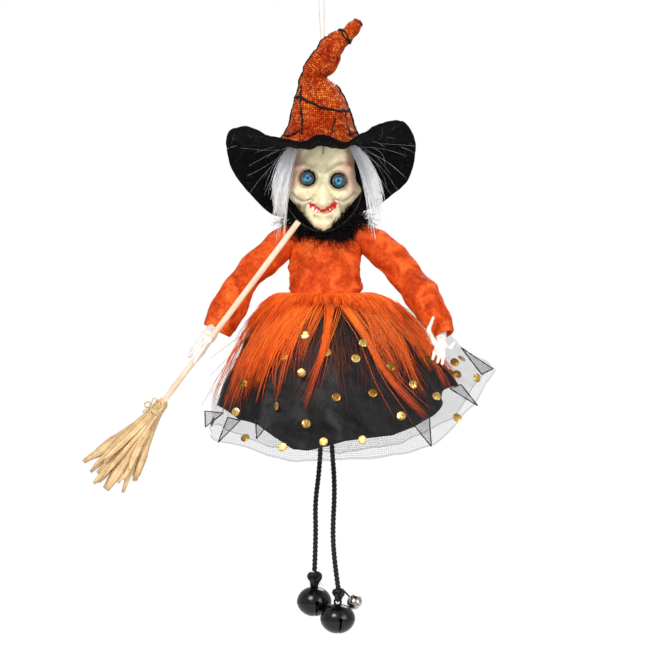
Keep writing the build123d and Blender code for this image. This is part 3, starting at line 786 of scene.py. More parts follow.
def hat_pieces():
    """The hat's cloth, the stuffing inside it, and the web of lace on it."""
    surface, out = cone_grid()
    cone = make_cloth("hat_cone_cloth", surface, "hat_cloth")
    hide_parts("hat_cone")
    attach(cone, "head")

    inside = surface[14:CONE_ROWS // 2]
    middle = inside.mean(axis=1, keepdims=True)
    inside = middle + (inside - middle) * STUFFING_WIDTH
    foot, top = (np.repeat(row.mean(axis=1, keepdims=True), CONE_COLUMNS, 1)
                 for row in (inside[:1], inside[-1:]))
    inside = np.concatenate([foot, inside, top])
    filling = make_mesh("hat_stuffing_fill", inside, grid_faces(len(inside), CONE_COLUMNS),
                        "fibre_fill")
    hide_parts("hat_stuffing")
    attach(filling, "head")

    parts = []
    for number, (width, places) in enumerate(WEB):
        spots = [list(places[0])]
        for degrees, height in places[1:]:
            turns = round((spots[-1][0] - degrees) / 360)
            spots.append([degrees + 360 * turns, height])
        line = rows_of(spots, 12 * len(spots))
        path = np.array([on_cone(surface, out, d, h, width * 0.55) for d, h in line])
        path = rows_of(path[::3], 10 * len(spots))
        parts.append(tube(path, width * (1 + 0.35 * ripple(path, 3.0, number)), 6))
    parts += [tip_band((12.0, -31.2), 4.7, 47, 0.55), tip_band((13.0, -30.4), 4.4, 52, 0.4),
              tip_band((19.4, -23.6), 2.7, 42, 0.25)]
    web = make_joined("hat_web_threads", parts, "black_lace")
    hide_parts("hat_web_lace")
    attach(web, "head")


# The brim's edge all round, from the front to its left, with the small roll at the front
BRIM_EDGE = [
    (-1.0, -45.5, -85.4), (7.0, -44.8, -88.2), (12.0, -44.0, -90.2), (20.0, -41.5, -86.4),
    (29.0, -36.0, -80.6), (36.8, -29.5, -77.4), (43.6, -20.0, -78.4), (48.0, -8.0, -83.4),
    (49.2, 3.0, -91.0), (45.6, 13.5, -103.5), (36.0, 22.5, -113.5), (27.0, 28.0, -118.8),
    (13.0, 32.0, -122.5), (0.0, 33.0, -123.5), (-13.0, 32.0, -123.0), (-26.0, 28.5, -121.5),
    (-37.5, 21.0, -111.5), (-46.4, 11.5, -98.5), (-49.2, 1.0, -89.5), (-48.2, -11.0, -82.6),
    (-44.2, -22.0, -80.4), (-37.0, -31.0, -81.4), (-27.0, -38.0, -84.8), (-18.0, -42.5, -87.6),
    (-9.0, -44.6, -89.8),
]


def brim_piece():
    """The felt brim and the fuzz that stands on it."""
    columns, rows = 240, 34
    edge = rows_of(BRIM_EDGE, columns, closed=True)
    edge = np.concatenate([edge, edge[:1]])
    turn = np.arctan2(edge[:, 1] - HAT_Y, edge[:, 0] - HAT_X)
    deep = CROWN_DEEP * np.sin(turn)
    ring = stacked(HAT_X + CROWN_WIDE * np.cos(turn), HAT_Y + deep, -92.0 - deep * HAT_TILT)
    share = np.linspace(0, 1, rows)[:, None, None]
    points = ring[None] * (1 - share) + edge[None] * share
    sag = 4 * share[..., 0] * (1 - share[..., 0])
    points[..., 2] -= sag * (1.4 + 1.2 * np.cos(turn + math.pi / 2))
    normals = grid_normals(points)
    wave = 0.9 * ripple(points, 26.0, 3) + 0.3 * ripple(points, 8.0, 4)
    points = points + normals * (wave * np.clip(share[..., 0] * 3, 0, 1))[..., None]
    brim = make_cloth("hat_brim_felt", points, "black_felt")
    thickened(brim, 1.3, 0.0)
    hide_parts("hat_brim")
    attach(brim, "head")

    draw = np.random.default_rng(17)
    count, many = 5, 900
    row = (rows - 1) * np.sqrt(draw.uniform(0.02, 1, many))
    column = draw.integers(0, columns, many)
    spot, way = points[row.astype(int), column], normals[row.astype(int), column]
    face = np.where(draw.uniform(size=many) < 0.5, 1.0, -1.0)[:, None]
    start = spot + way * face * 0.6
    lean = unit(way * face * 0.35 + draw.normal(size=(many, 3)) * 0.75)
    size = draw.uniform(0.8, 2.8, many)[:, None, None]
    along = np.linspace(0, 1, count)[None, :, None]
    curl = draw.normal(size=(many, 1, 3)) * 0.5
    paths = start[:, None] + lean[:, None] * along * size + curl * along**2 * size
    points, faces = strands(paths, [0.04, 0.04, 0.035, 0.03, 0.015])
    tint = strand_tint(paths, [(60, 60, 64), (120, 120, 124)], 0.7, 18)
    lint = make_mesh("hat_brim_fuzz", points, faces, "black_felt", tint=tint)
    lint.data.materials[0] = LOOKS["black_yarn"]
    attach(lint, "head")


hat_pieces()
brim_piece()

# ---------------------------------------------------------------- head

MASK_X = 1.0
NEARER = 0.9  # the face is nearer the eye than the thread is, so its features sit this much lower
# The head's outline down the front: height, half width, and how far the face and the back reach
SKULL = [
    (-76.5, 1.0, 2.0, 2.0), (-78.0, 8.5, 8.0, 8.0), (-82.0, 13.2, 12.0, 12.0),
    (-88.0, 15.5, 14.4, 14.5), (-95.0, 16.2, 15.2, 15.6), (-100.4, 16.5, 15.4, 15.8),
    (-105.0, 17.0, 15.4, 15.6), (-110.0, 17.4, 15.6, 14.6), (-114.0, 17.0, 15.6, 13.0),
    (-117.0, 15.6, 15.4, 11.0), (-120.0, 13.4, 15.2, 7.5), (-123.0, 11.6, 14.8, 4.0),
    (-126.0, 9.6, 14.8, 0.5), (-129.2, 7.0, 15.2, -3.0), (-131.4, 4.6, 14.6, -6.5),
    (-132.6, 1.6, 12.6, -10.0),
]
EYES = {"right": (-6.8, -104.6), "left": (9.0, -105.9)}
# The brown is painted shade, laid in the face's creases and hollows and over the sides and back of
# the head.
CREAM, BROWN_SHADE = paint(244, 234, 196), paint(120, 92, 62)
PINK, BLACK = paint(236, 170, 152), paint(16, 14, 15)
RED, TOOTH = paint(214, 22, 20), paint(248, 244, 234)


# Lines on the face's left, mirrored to its right, and across its chin: x and height
BROW = [(2.6, -102.2), (6.0, -99.6), (10.0, -98.2), (14.0, -99.0)]
CHEEK_FOLD = [(16.0, -111.6), (13.2, -115.0), (9.4, -116.6), (5.4, -116.0)]
MOUTH_FOLD = [(4.6, -113.6), (7.6, -116.8), (9.8, -119.4), (10.2, -123.0)]
CHIN_FOLD = [(-4.6, -124.4), (0, -125.4), (4.6, -124.4)]


def mound(u, z, middle, spread):
    """A smooth bump of height 1."""
    return np.exp(-(((u - middle[0]) / spread[0]) ** 2) - ((z - middle[1]) / spread[1]) ** 2)


def groove(u, z, places, width):
    """1 on a bent line, fading smoothly away from it over its width."""
    nearest = np.full(u.shape, 1e9)
    line = rows_of(places, 10 * len(places))
    for a, b in zip(line, line[1:]):
        way = b - a
        t = np.clip(((u - a[0]) * way[0] + (z - a[1]) * way[1]) / (way @ way), 0, 1)
        nearest = np.minimum(nearest, (u - a[0] - t * way[0]) ** 2 + (z - a[1] - t * way[1]) ** 2)
    return np.exp(-nearest / width**2)


def smile(u):
    """The height of the line between the lips."""
    return -121.9 + 0.082 * u**2


def face_relief(u, z):
    """How far the face stands out at each place, in millimetres."""
    heights = [(-98, 0), (-101, 0.6), (-104, 2.0), (-108, 4.0), (-112, 6.2), (-115.5, 8.2),
               (-118, 9.4), (-119.2, 8.6), (-120.2, 4.2), (-121.2, 0)]
    widths = [(-98, 1.8), (-103, 1.9), (-110, 2.6), (-115, 3.6), (-118, 3.3), (-120, 2.4)]
    nose_high = np.interp(-z, [-h[0] for h in heights], [h[1] for h in heights])
    nose_wide = np.interp(-z, [-w[0] for w in widths], [w[1] for w in widths])
    relief = nose_high * np.exp(-((np.abs(u) / nose_wide) ** 2.2))
    for sign in (-1, 1):
        side = u * sign
        relief += 1.8 * mound(side, z, (3.6, -117.4), (1.7, 1.5))
        relief += 1.6 * groove(side, z, BROW, 1.7)
        relief += 2.5 * mound(side, z, (11.4, -111.6), (4.4, 3.0))
        relief -= 1.6 * mound(side, z, (11.0, -119.0), (3.4, 2.6))
        relief -= 1.25 * groove(side, z, CHEEK_FOLD, 0.85)
        relief -= 0.9 * groove(side, z, MOUTH_FOLD, 0.8)
        relief -= 1.0 * mound(side, z, (15.0, -94.5), (3.0, 5.0))
        relief -= 0.5 * groove(side, z, [(10.4, -123.0), (8.2, -126.6), (5.4, -128.8)], 0.9)
    for x, height in EYES.values():
        apart = np.hypot(u - (x - MASK_X), z - height)
        relief -= 2.9 * np.exp(-((apart / 4.5) ** 4))
        relief += 0.75 * np.exp(-(((apart - 5.3) / 0.9) ** 2))
    lips = smile(u)
    reach = np.clip(1.15 - np.abs(u) / 9.2, 0, 1)
    relief -= 1.5 * reach * np.exp(-(((z - lips) / 0.75) ** 2))
    relief += 0.8 * reach * np.exp(-(((z - lips - 1.7) / 0.9) ** 2))
    relief += 0.9 * reach * np.exp(-(((z - lips + 1.7) / 0.9) ** 2))
    relief += 1.7 * mound(u, z, (0, -128.0), (4.2, 2.4))
    relief -= 0.8 * groove(u, z, CHIN_FOLD, 0.9)
    relief -= 0.5 * groove(u, z, [(0, -84), (0, -91.5)], 0.5)
    return relief


def face_tint(u, z, front):
    """The mask's painted colours, with brown painted shade in its creases and hollows, round the
    eye sockets and over the sides and back of the head.
    """
    ragged = ripple(stacked(u, 0, z), 2.4, 41)
    tint = np.broadcast_to(CREAM, (*u.shape, 3)).copy()

    def lay(colour, amount):
        nonlocal tint
        amount = np.clip(amount, 0, 1)[..., None]
        tint = tint * (1 - amount) + colour * amount

    for sign in (-1, 1):
        side = u * sign
        lay(PINK, 0.85 * mound(side, z, (13.6, -98.0), (3.4, 6.0)) * front)
        lay(PINK, 0.6 * mound(side, z, (15.0, -107.0), (3.2, 4.0)) * front)
        # Brown in the cheek and mouth folds, the cheek hollows and by the nose wings: painted
        # shade.
        lay(BROWN_SHADE, 0.55 * front * groove(side, z, CHEEK_FOLD, 0.8))
        lay(BROWN_SHADE, 0.4 * front * groove(side, z, MOUTH_FOLD, 0.8))
        lay(BROWN_SHADE, 0.3 * front * mound(side, z, (11.0, -120.5), (3.2, 2.6)))
        lay(BROWN_SHADE, 0.35 * front * mound(side, z, (3.4, -118.6), (1.2, 1.0)))
    # Brown in the forehead crease and the chin fold, and over the sides and back of the head:
    # painted shade.
    lay(BROWN_SHADE, 0.6 * front * groove(u, z, [(0, -84), (0, -91.8)], 0.35))
    lay(BROWN_SHADE, 0.35 * front * groove(u, z, CHIN_FOLD, 0.8))
    lay(BROWN_SHADE, 0.5 * (1 - front))
    lips = smile(u)
    reach = np.clip((8.6 - np.abs(u)) / 1.4, 0, 1)
    wide = 1.9 * np.clip((np.abs(u) + 1.2) / 5.0, 0.35, 1) * np.clip((9.8 - np.abs(u)) / 3.2, 0, 1)
    lay(RED, front * reach * np.clip((wide - np.abs(z - lips - 0.5) + 0.5 * ragged) * 3, 0, 1))
    for place, drop, size in ((-5.2, -0.6, 0.85), (-3.4, -0.2, 0.7), (-1.9, -0.1, 0.45),
                              (2.2, -0.1, 0.5), (3.8, -0.1, 0.6), (5.2, -0.3, 0.5)):
        apart = np.maximum(np.abs(u - place) * 1.1, np.abs(z - smile(place) - drop) * 0.8)
        lay(TOOTH, front * (size - apart + 0.15 * ragged) * 5)
    for x, height in EYES.values():
        apart = np.hypot(u - (x - MASK_X), z - height)
        # A brown ring just inside each socket's rim: painted shade.
        lay(BROWN_SHADE, 0.5 * front * np.exp(-(((apart - 4.9) / 0.8) ** 2)))
        lay(BLACK, front * (4.45 + 0.18 * ragged - apart) * 3.2)
    return tint


def mask_piece():
    """The moulded head with its sculpted and painted face."""
    rows = 230
    z, wide, face, back = rows_of(SKULL, rows).T[:, :, None]
    front_turn = np.linspace(-math.pi / 2, math.pi / 2, 241)
    back_turn = np.linspace(math.pi / 2, 3 * math.pi / 2, 61)[1:]
    turn = np.concatenate([front_turn, back_turn])[None, :]
    sine, cosine = np.sin(turn), np.cos(turn)
    u = wide * np.sign(sine) * np.abs(sine) ** 0.92
    reach = np.where(cosine > 0, face, back)
    y = -0.5 - reach * np.sign(cosine) * np.abs(cosine) ** 0.86
    z, front, _ = np.broadcast_arrays(z, np.clip(cosine * 2.2, 0, 1), u)
    relief = face_relief(u, z + NEARER) * front
    lobe = np.exp(-(((z + 111.2) / 3.8) ** 2))
    ears = np.exp(-(((np.abs(turn) - 1.42) / 0.15) ** 2)) * lobe
    ears -= 0.55 * np.exp(-(((np.abs(turn) - 1.36) / 0.05) ** 2)) * lobe**2
    points = stacked(MASK_X + u, y, z)
    out = unit(stacked(sine, -cosine, 0 * z))
    push = unit(stacked(0.25 * sine, -np.abs(cosine) - 0.05, 0 * z))
    points = points + push * relief[..., None] + out * (2.6 * ears)[..., None]
    points += out * (0.12 * ripple(points, 6.0, 44))[..., None]
    tint = face_tint(u, z + NEARER, front)
    made = make_mesh("face_and_head", points, grid_faces(rows, turn.size), "mask", tint=tint)
    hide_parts("face_shell", "head_back")
    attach(made, "head")


def eye_pieces():
    """Faceted blue bead eyes in dark rims."""
    rings = [(0.02, -15.6), (0.66, -15.55), (0.7, -15.5), (1.35, -15.6), (2.25, -14.7),
             (2.32, -14.6), (2.8, -14.85), (3.4, -14.4), (3.75, -13.4), (3.75, -11.2)]
    shades = [(10, 14, 20), (10, 14, 20), (24, 96, 140), (60, 160, 206), (24, 104, 150),
              (18, 20, 24), (84, 84, 88), (26, 26, 28), (12, 12, 12), (12, 12, 12)]
    corners = 32
    turn = np.linspace(0, 2 * math.pi, corners, endpoint=False)
    for side, (x, z) in EYES.items():
        z -= NEARER
        points, tint = [], []
        for number, ((radius, y), shade) in enumerate(zip(rings, shades)):
            facet = 0.16 * np.sin(5 * turn + 3 * number + x) * (number in (3, 4))
            points.append(stacked(x + radius * np.cos(turn), y + facet,
                                  z + radius * np.sin(turn)))
            # The iris facets are painted lighter and darker round each bead: painted highlights and
            # shade on the facets.
            shine = 0.5 * np.sin(3 * turn + x + number) + 0.35 * np.sin(8 * turn + 2 * number)
            glow = 1 + shine[:, None] * (number in (2, 3, 4))
            tint.append(paint(*shade) * glow)
        made = make_mesh(f"{side}_eye_bead", np.array(points),
                         grid_faces(len(rings), corners, True)[:, ::-1], "eye_bead",
                         tint=np.clip(np.array(tint), 0, 1), smooth=False)
        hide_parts(f"{side}_eye")
        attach(made, "head")


def hair_pieces():
    """Loose white hair from under the brim, swept out and down on each side."""
    count = 10
    along = np.linspace(0, 1, count)[None, :, None]
    for side, sign in SIDES.items():
        draw = np.random.default_rng(51 if side == "left" else 52)
        many, stray, locks = 330, 16, 26
        total = many + stray
        layer = draw.uniform(0, 1, total)
        depth = -15.5 + 17 * layer
        member = draw.uniform(0, locks, total).astype(int)
        own = np.random.default_rng(55 + sign).uniform(0, 1, (3, locks))
        long, wide, bow = own[:, member]
        inner = 12.4 + 4.6 * layer + 3.2 * wide + draw.normal(size=total) * 0.35
        root = stacked(1 + sign * inner, depth, -86.5 - draw.uniform(0, 3.5, total))
        reach = 19.5 + 6.5 * wide + draw.normal(size=total) * 0.7
        if side == "left":
            reach += 3.0 + 4.0 * long * wide
        drop = -104 - 14 * draw.uniform(0, 1, total) - 8 * long
        drop -= 22 * draw.uniform(0, 1, total) ** 5
        tip = stacked(1 + sign * reach, depth * 0.9 - 3.5 * draw.uniform(0, 1, total), drop)
        middle = (root + tip) / 2
        middle[:, 0] = 1 + sign * (inner + (reach - inner) * (0.62 + 0.3 * bow))
        wild = slice(many, total)
        angle = draw.uniform(-0.35, 1.2, stray)
        far = draw.uniform(9, 30, stray)
        tip[wild] = root[wild] + np.stack(
            [sign * (3 + far * np.cos(angle)), draw.uniform(-9, 2, stray),
             -5 - far * np.sin(angle)], -1)
        middle[wild] = (root[wild] + tip[wild]) / 2 + np.stack(
            [sign * draw.uniform(-2, 6, stray), draw.uniform(-5, 0, stray),
             draw.uniform(-3, 6, stray)], -1)
        paths = (root[:, None] * (1 - along) ** 2 + 2 * middle[:, None] * along * (1 - along)
                 + tip[:, None] * along**2)
        paths += (draw.normal(size=(total, 1, 3)) * 1.2 * along * (1 - along)
                  + 0.3 * np.sin(along * draw.uniform(3, 12, (total, 1, 1))
                                 + draw.uniform(0, 6, (total, 1, 1))) * along)
        radii = np.array([0.13, 0.13, 0.12, 0.11, 0.11, 0.1, 0.1, 0.09, 0.08, 0.05])
        radii = np.repeat(radii[None], total, axis=0)
        radii[wild] *= 0.32
        points, faces = strands(paths, radii)
        tint = strand_tint(paths, [(196, 196, 202), (238, 238, 242), (255, 255, 255)], 0.22, 53)
        made = make_mesh(f"hair_{side}_strands", points, faces, "white_hair", tint=tint)
        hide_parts(f"hair_{side}")
        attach(made, "head")


mask_piece()
eye_pieces()
hair_pieces()


# ---------------------------------------------------------------- bodice, collar and sleeves

def bodice_piece():
    """The velvet bodice, gathered where the waist elastic holds it."""
    sections = [(-164.5, 2.8, 13.0, 9.5), (-167.4, 2.7, 16.0, 12.6), (-167.6, 2.6, 18.2, 15.4),
                (-165.0, 2.6, 19.4, 16.4), (-161.0, 2.6, 18.8, 15.6), (-156.0, 2.4, 18.0, 14.4),
                (-150.0, 2.2, 18.6, 13.8), (-145.0, 2.2, 18.9, 13.0), (-140.5, 2.2, 19.4, 11.4),
                (-136.5, 2.2, 17.8, 9.4), (-133.8, 2.1, 13.0, 7.8), (-132.6, 2.0, 7.0, 6.0),
                (-132.4, 2.0, 2.6, 2.6)]
    z, x, wide, deep = rows_of(sections, 120).T[:, :, None]
    turn = round_from_back(161)
    points = stacked(x + wide * np.cos(turn), deep * np.sin(turn), z)
    out = unit(stacked(np.cos(turn), np.sin(turn), 0 * x))
    fold = 0.8 * (ripple(points, 15.0, 61) + 0.4 * ripple(points, 5.0, 62))
    fold = fold * np.clip(wide / 8, 0.1, 1)
    height, turn = points[..., 2], np.arctan2(points[..., 1], points[..., 0] - 2.5)
    waist = np.exp(-(((height + 168) / 7) ** 2))
    fold = fold + 0.5 * waist * np.sin(17 * turn + 1.5 * np.sin(2 * turn))
    drop = waist * (4.2 * np.cos(turn) ** 2 - 3.6 * np.sin(turn) ** 2 + 0.5 * np.sin(5 * turn))
    points = points + out * fold[..., None]
    points[..., 2] += drop
    made = make_cloth("bodice_velvet", points, "orange_velvet")
    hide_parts("bodice")
    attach(made, "torso")


# Stations along each sleeve: x, y, z and radius, from inside the shoulder to the cuff
SLEEVES = {
    "right": [(-12.0, -0.6, -137.0, 5.6), (-16.4, -0.8, -136.4, 7.4), (-21.0, -1.0, -138.6, 8.1),
              (-27.0, -1.6, -144.9, 8.7), (-34.6, -2.4, -151.8, 7.8), (-41.2, -3.0, -159.6, 7.7),
              (-45.5, -3.3, -168.4, 9.4), (-49.4, -3.7, -175.8, 9.2), (-53.4, -4.0, -183.8, 7.9)],
    "left": [(17.4, -0.6, -136.4, 5.6), (21.8, -0.8, -135.8, 7.2), (27.0, -1.2, -138.0, 8.0),
             (35.0, -3.4, -144.6, 8.7), (40.6, -5.6, -151.2, 8.2), (46.4, -8.2, -158.6, 8.5),
             (51.8, -12.2, -166.0, 9.2), (57.0, -18.0, -174.2, 8.4), (60.3, -21.6, -180.6, 6.9),
             (62.2, -23.8, -186.0, 5.9)],
}
ELBOWS = {"right": (-40.6, -3.0, -159.2), "left": (46.8, -8.0, -159.2)}


def sleeve_piece(side):
    """A gathered velvet sleeve, open at the cuff, shaped with a bend at the elbow."""
    stations = rows_of(SLEEVES[side], 110)
    path, radii = stations[:, :3], stations[:, 3]
    tangents, first, second = frames(path)
    corners = 81
    turn = np.linspace(0, 2 * math.pi, corners)
    ring = (np.cos(turn)[None, :, None] * first[:, None]
            + 0.94 * np.sin(turn)[None, :, None] * second[:, None])
    points = path[:, None] + radii[:, None, None] * ring
    seed = 71 if side == "left" else 75
    share = np.linspace(0, 1, len(path))[:, None]
    elbow = np.exp(-(((share - 0.52) / 0.13) ** 2))
    gather = np.clip((share - 0.8) / 0.2, 0, 1)
    fold = (0.65 * ripple(points, 17.0, seed, 2) + 0.12 * ripple(points, 5.0, seed + 1)
            + 0.45 * elbow * np.sin(30 * share + 1.5 * np.sin(turn)[None])
            + 0.3 * gather * np.sin(9 * turn)[None])
    points = points + ring * (fold * np.clip(share * 8, 0.15, 1))[..., None]
    lining = []
    for inset, back in ((0.5, 0.5), (1.1, 0.0), (1.5, -3.0), (1.8, -7.0), (2.4, -11.0)):
        row = points[-1] + tangents[-1] * back
        middle = path[-1] + tangents[-1] * back
        lining.append(middle + (row - middle) * (1 - inset / radii[-1]))
    seal = path[0] + (points[0] - path[0]) * 0.02
    points = np.concatenate([seal[None], points, np.array(lining)])
    made = make_cloth(f"sleeve_{side}_velvet", points, "orange_velvet")
    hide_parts(f"sleeve_upper_{side}", f"sleeve_lower_{side}")
    elbow = np.array(ELBOWS[side])
    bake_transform(made)


def ruff_piece():
    """A collar of curly black yarn round the neck and up behind the jaw."""
    draw = np.random.default_rng(81)
    many, count = 3000, 9
    around = draw.uniform(0, 2 * math.pi, many)
    tilt = draw.uniform(0, 2 * math.pi, many)
    sideways = np.abs(np.cos(around))
    swell = 3.6 + 2.4 * sideways**2
    ring = stacked(2.4 + 13.6 * np.cos(around), 1.2 + 9.6 * np.sin(around),
                   -133.5 + 5.5 * sideways**2 + 2.0 * np.clip(np.sin(around), 0, 1))
    face = stacked(np.cos(around) * np.cos(tilt), np.sin(around) * np.cos(tilt),
                   np.sin(tilt))
    root = ring + face * (swell * np.sqrt(draw.uniform(0, 1, many)))[:, None]
    way = unit(face + draw.normal(size=(many, 3)) * 0.55)
    size = draw.uniform(3.0, 8.0, many) * (1 + 0.35 * sideways)
    along = np.linspace(0, 1, count)[None, :, None]
    across = unit(np.cross(way, draw.normal(size=(many, 3))))
    other = np.cross(way, across)
    spin = draw.uniform(4, 11, (many, 1, 1)) * along + draw.uniform(0, 6, (many, 1, 1))
    loop = draw.uniform(0.5, 1.6, (many, 1, 1))
    paths = (root[:, None] + way[:, None] * along * size[:, None, None]
             + loop * (np.cos(spin) * across[:, None] + np.sin(spin) * other[:, None]))
    thick = np.where(draw.uniform(size=many) < 0.75, 0.16, 0.3)[:, None]
    points, faces = strands(paths, thick * np.linspace(1, 0.5, count))
    # Each fibre is lighter and more purplish towards its tip: partly the yarn's own tone, partly
    # painted sheen.
    tint = strand_tint(paths, [(8, 7, 8), (16, 13, 14), (28, 22, 24)], 0.6, 82)
    hairs = make_mesh("collar_ruff_fibres", points, faces, "black_yarn", tint=tint)
    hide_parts("collar_ruff")
    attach(hairs, "torso")

    turn = np.linspace(0, 2 * math.pi, 220)
    parts = []
    for number in range(7):
        phase = number * 1.3
        path = stacked(2.4 + (12.5 + 2.0 * np.sin(9 * turn + phase)) * np.cos(turn),
                       1.2 + (8.8 + 1.5 * np.cos(11 * turn + phase)) * np.sin(turn),
                       -134.0 + 4.0 * np.cos(turn) ** 2 + 2.6 * np.sin(7 * turn + 2 * phase))
        parts.append(tube(path, 1.7 + 0.5 * ripple(path, 4.0, number), 7))
    points, faces, uv = joined(parts)
    tint = np.broadcast_to(paint(9, 8, 9), points.shape)
    core = make_mesh("collar_ruff_core", points, faces, "black_yarn", uv, tint=tint)
    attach(core, "torso")


bodice_piece()
for arm in SIDES:
    sleeve_piece(arm)
ruff_piece()

# ---------------------------------------------------------------- skirt

WAIST = (2.8, 16.6, 12.6, -164.5)
# Hems seen from the front: x and height, from the figure's right to its left
SATIN_FRONT = [(-60.0, -219.0), (-52.5, -222.5), (-43.2, -229.4), (-36.0, -230.0),
               (-30.2, -231.4), (-23.4, -237.2), (-15.0, -243.4), (-7.3, -244.2), (0.5, -242.4),
               (12.5, -239.2), (23.4, -238.0), (36.4, -236.6), (47.3, -232.5), (56.0, -227.0),
               (64.0, -218.6), (69.0, -211.0), (76.0, -206.0)]
SATIN_BACK = [(-60.0, -219.0), (-52.5, -222.5), (-30.0, -234.0), (8.0, -239.0), (44.0, -232.0),
              (69.0, -211.0), (76.0, -206.0)]
NET_FRONT = [(-70.0, -228.0), (-61.4, -232.5), (-53.0, -240.3), (-40.0, -243.0), (-26.0, -247.0),
             (-11.2, -249.4), (6.0, -248.6), (24.0, -248.0), (40.0, -246.0), (55.5, -241.6),
             (70.0, -231.5), (80.0, -221.6), (84.0, -211.0), (88.0, -204.0)]
NET_BACK = [(-70.0, -226.0), (-58.0, -232.0), (-30.0, -246.0), (10.0, -250.5), (45.0, -245.0),
            (70.0, -230.0), (84.0, -211.0), (88.0, -204.0)]


# Powers of the share of the way down by which a layer widens, drops and moves across
FLARE, FALL, SHIFT = 0.74, 1.28, 1.6


def skirt_surface(turn, share, middle, wide, deep, front, back, folds, fold_depth, seed,
                  flare=FLARE):
    """Points of a gathered skirt layer for angles round the waist and shares of the way down."""
    turn, share = np.broadcast_arrays(turn, share)
    cosine, sine = np.cos(turn), np.sin(turn)
    ripples = (np.sin(folds * turn + seed) + 0.6 * np.sin((folds + 4) * turn + 2.1 * seed)
               + 0.4 * np.sin((2 * folds - 3) * turn + seed))
    grow = fold_depth * share**1.15 * ripples
    hem_x = middle + wide * cosine
    hems = [np.interp(hem_x, [p[0] for p in line], [p[1] for p in line]) for line in (front, back)]
    weight = np.clip(0.5 - 1.2 * sine, 0, 1)
    weight = weight**2 * (3 - 2 * weight)
    hem_z = hems[0] * weight + hems[1] * (1 - weight)
    out = share**flare
    px = (WAIST[0] + (middle - WAIST[0]) * out**SHIFT
          + (WAIST[1] + (wide - WAIST[1]) * out + grow) * cosine)
    py = (WAIST[2] + (deep - WAIST[2]) * out + grow) * sine
    pz = WAIST[3] + (hem_z - WAIST[3]) * share**FALL
    return stacked(px, py, pz)


SATIN = dict(middle=8.0, wide=60.0, deep=46.0, front=SATIN_FRONT, back=SATIN_BACK, folds=8,
             fold_depth=2.1, seed=1.0)
NET = dict(middle=14.5, wide=73.0, deep=52.0, front=NET_FRONT, back=NET_BACK, folds=7,
           fold_depth=2.0, seed=2.6, flare=0.7)


def skirt_layer(rows, columns, shape, height, size, seed):
    """A gathered layer's points, with soft wrinkles that grow towards the hem."""
    share = np.linspace(0, 1, rows)[:, None]
    points = skirt_surface(round_from_back(columns), share, **shape)
    return points + grid_normals(points) * (height * ripple(points, size, seed) * share)[..., None]


def skirt_pieces():
    """The satin skirt, and the net over it with its folded points and foil dots."""
    points = skirt_layer(110, 361, SATIN, 0.9, 24.0, 91)
    made = make_cloth("skirt_satin_cloth", points, "black_satin")
    thickened(made, 0.4, 0.0)
    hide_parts("skirt_satin")
    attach(made, "torso")

    net_points = skirt_layer(90, 401, NET, 1.6, 20.0, 95)
    edge = np.zeros(net_points.shape[:2])
    edge[-1] = 0.4
    made = make_cloth("skirt_tulle_net", net_points, "black_tulle", edge=edge)
    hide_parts("skirt_tulle")
    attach(made, "torso")
    points = net_flaps()
    dots = foil_dots(net_points)


# Foil dots that show from the front: x and height
FRONT_DOTS = [
    (-8.0, -185.8), (21.2, -189.8), (-18.7, -197.4), (3.3, -194.9), (17.5, -197.7),
    (35.6, -201.5), (54.7, -198.2), (-30.7, -208.3), (-9.4, -205.2), (-39.6, -211.6),
    (7.7, -216.9), (26.5, -215.2), (40.5, -226.2), (-22.2, -221.6), (-43.2, -225.3),
    (-7.8, -230.4), (21.1, -238.2), (1.5, -239.4), (-19.7, -242.4), (-38.0, -238.2),
    (-55.6, -230.6), (68.6, -200.3), (69.5, -206.0), (68.6, -228.0), (46.8, -210.6),
    (58.0, -217.0), (80.0, -208.0),
]


# Points of the net that fold over or hang below: three corners, each x, y and height
FLAPS = [
    [(-60.0, -8.0, -225.5), (-59.5, -12.0, -233.5), (-50.0, -20.0, -226.0)],
    [(-47.5, -26.0, -228.0), (-52.6, -22.0, -241.0), (-41.0, -29.0, -229.5)],
    [(47.0, -34.0, -231.5), (56.0, -33.0, -242.6), (55.0, -32.0, -227.0)],
    [(66.0, -22.0, -213.5), (80.4, -18.0, -222.4), (72.0, -16.0, -211.5)],
    [(72.0, -14.0, -192.5), (89.0, -6.0, -203.6), (83.0, -10.0, -206.5)],
    [(-33.0, -36.0, -229.0), (-32.5, -36.5, -238.5), (-27.0, -38.5, -231.5)],
]


def net_flaps():
    """Folded points of net, where two layers and their edges look darker."""
    many = 14
    even = np.linspace(0, 1, many)
    down, across = even[:, None], even[None, :]
    parts, edges = [], []
    for number, corners in enumerate(FLAPS):
        a, b, c = np.array(corners)
        top = a + (c - a) * across[..., None]
        points = top + (b - top) * down[..., None] * 0.995
        points[..., 1] += 0.7 * np.sin(3 * across + 5 * down + number)
        parts.append((points.reshape(-1, 3), grid_faces(many, many).tolist(),
                      cloth_uv(points).reshape(-1, 2)))
        edges.append(np.full(points.shape[:2], 0.25).ravel())
        for line in (points[:, 0], points[:, -1], points[0]):
            parts.append(tube(line, 0.32 + 0.08 * ripple(line, 2.0, number), 5))
            edges.append(np.ones(len(parts[-1][0])))
    made = make_joined("skirt_tulle_points", parts, "black_tulle", edge=np.concatenate(edges))
    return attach(made, "torso")


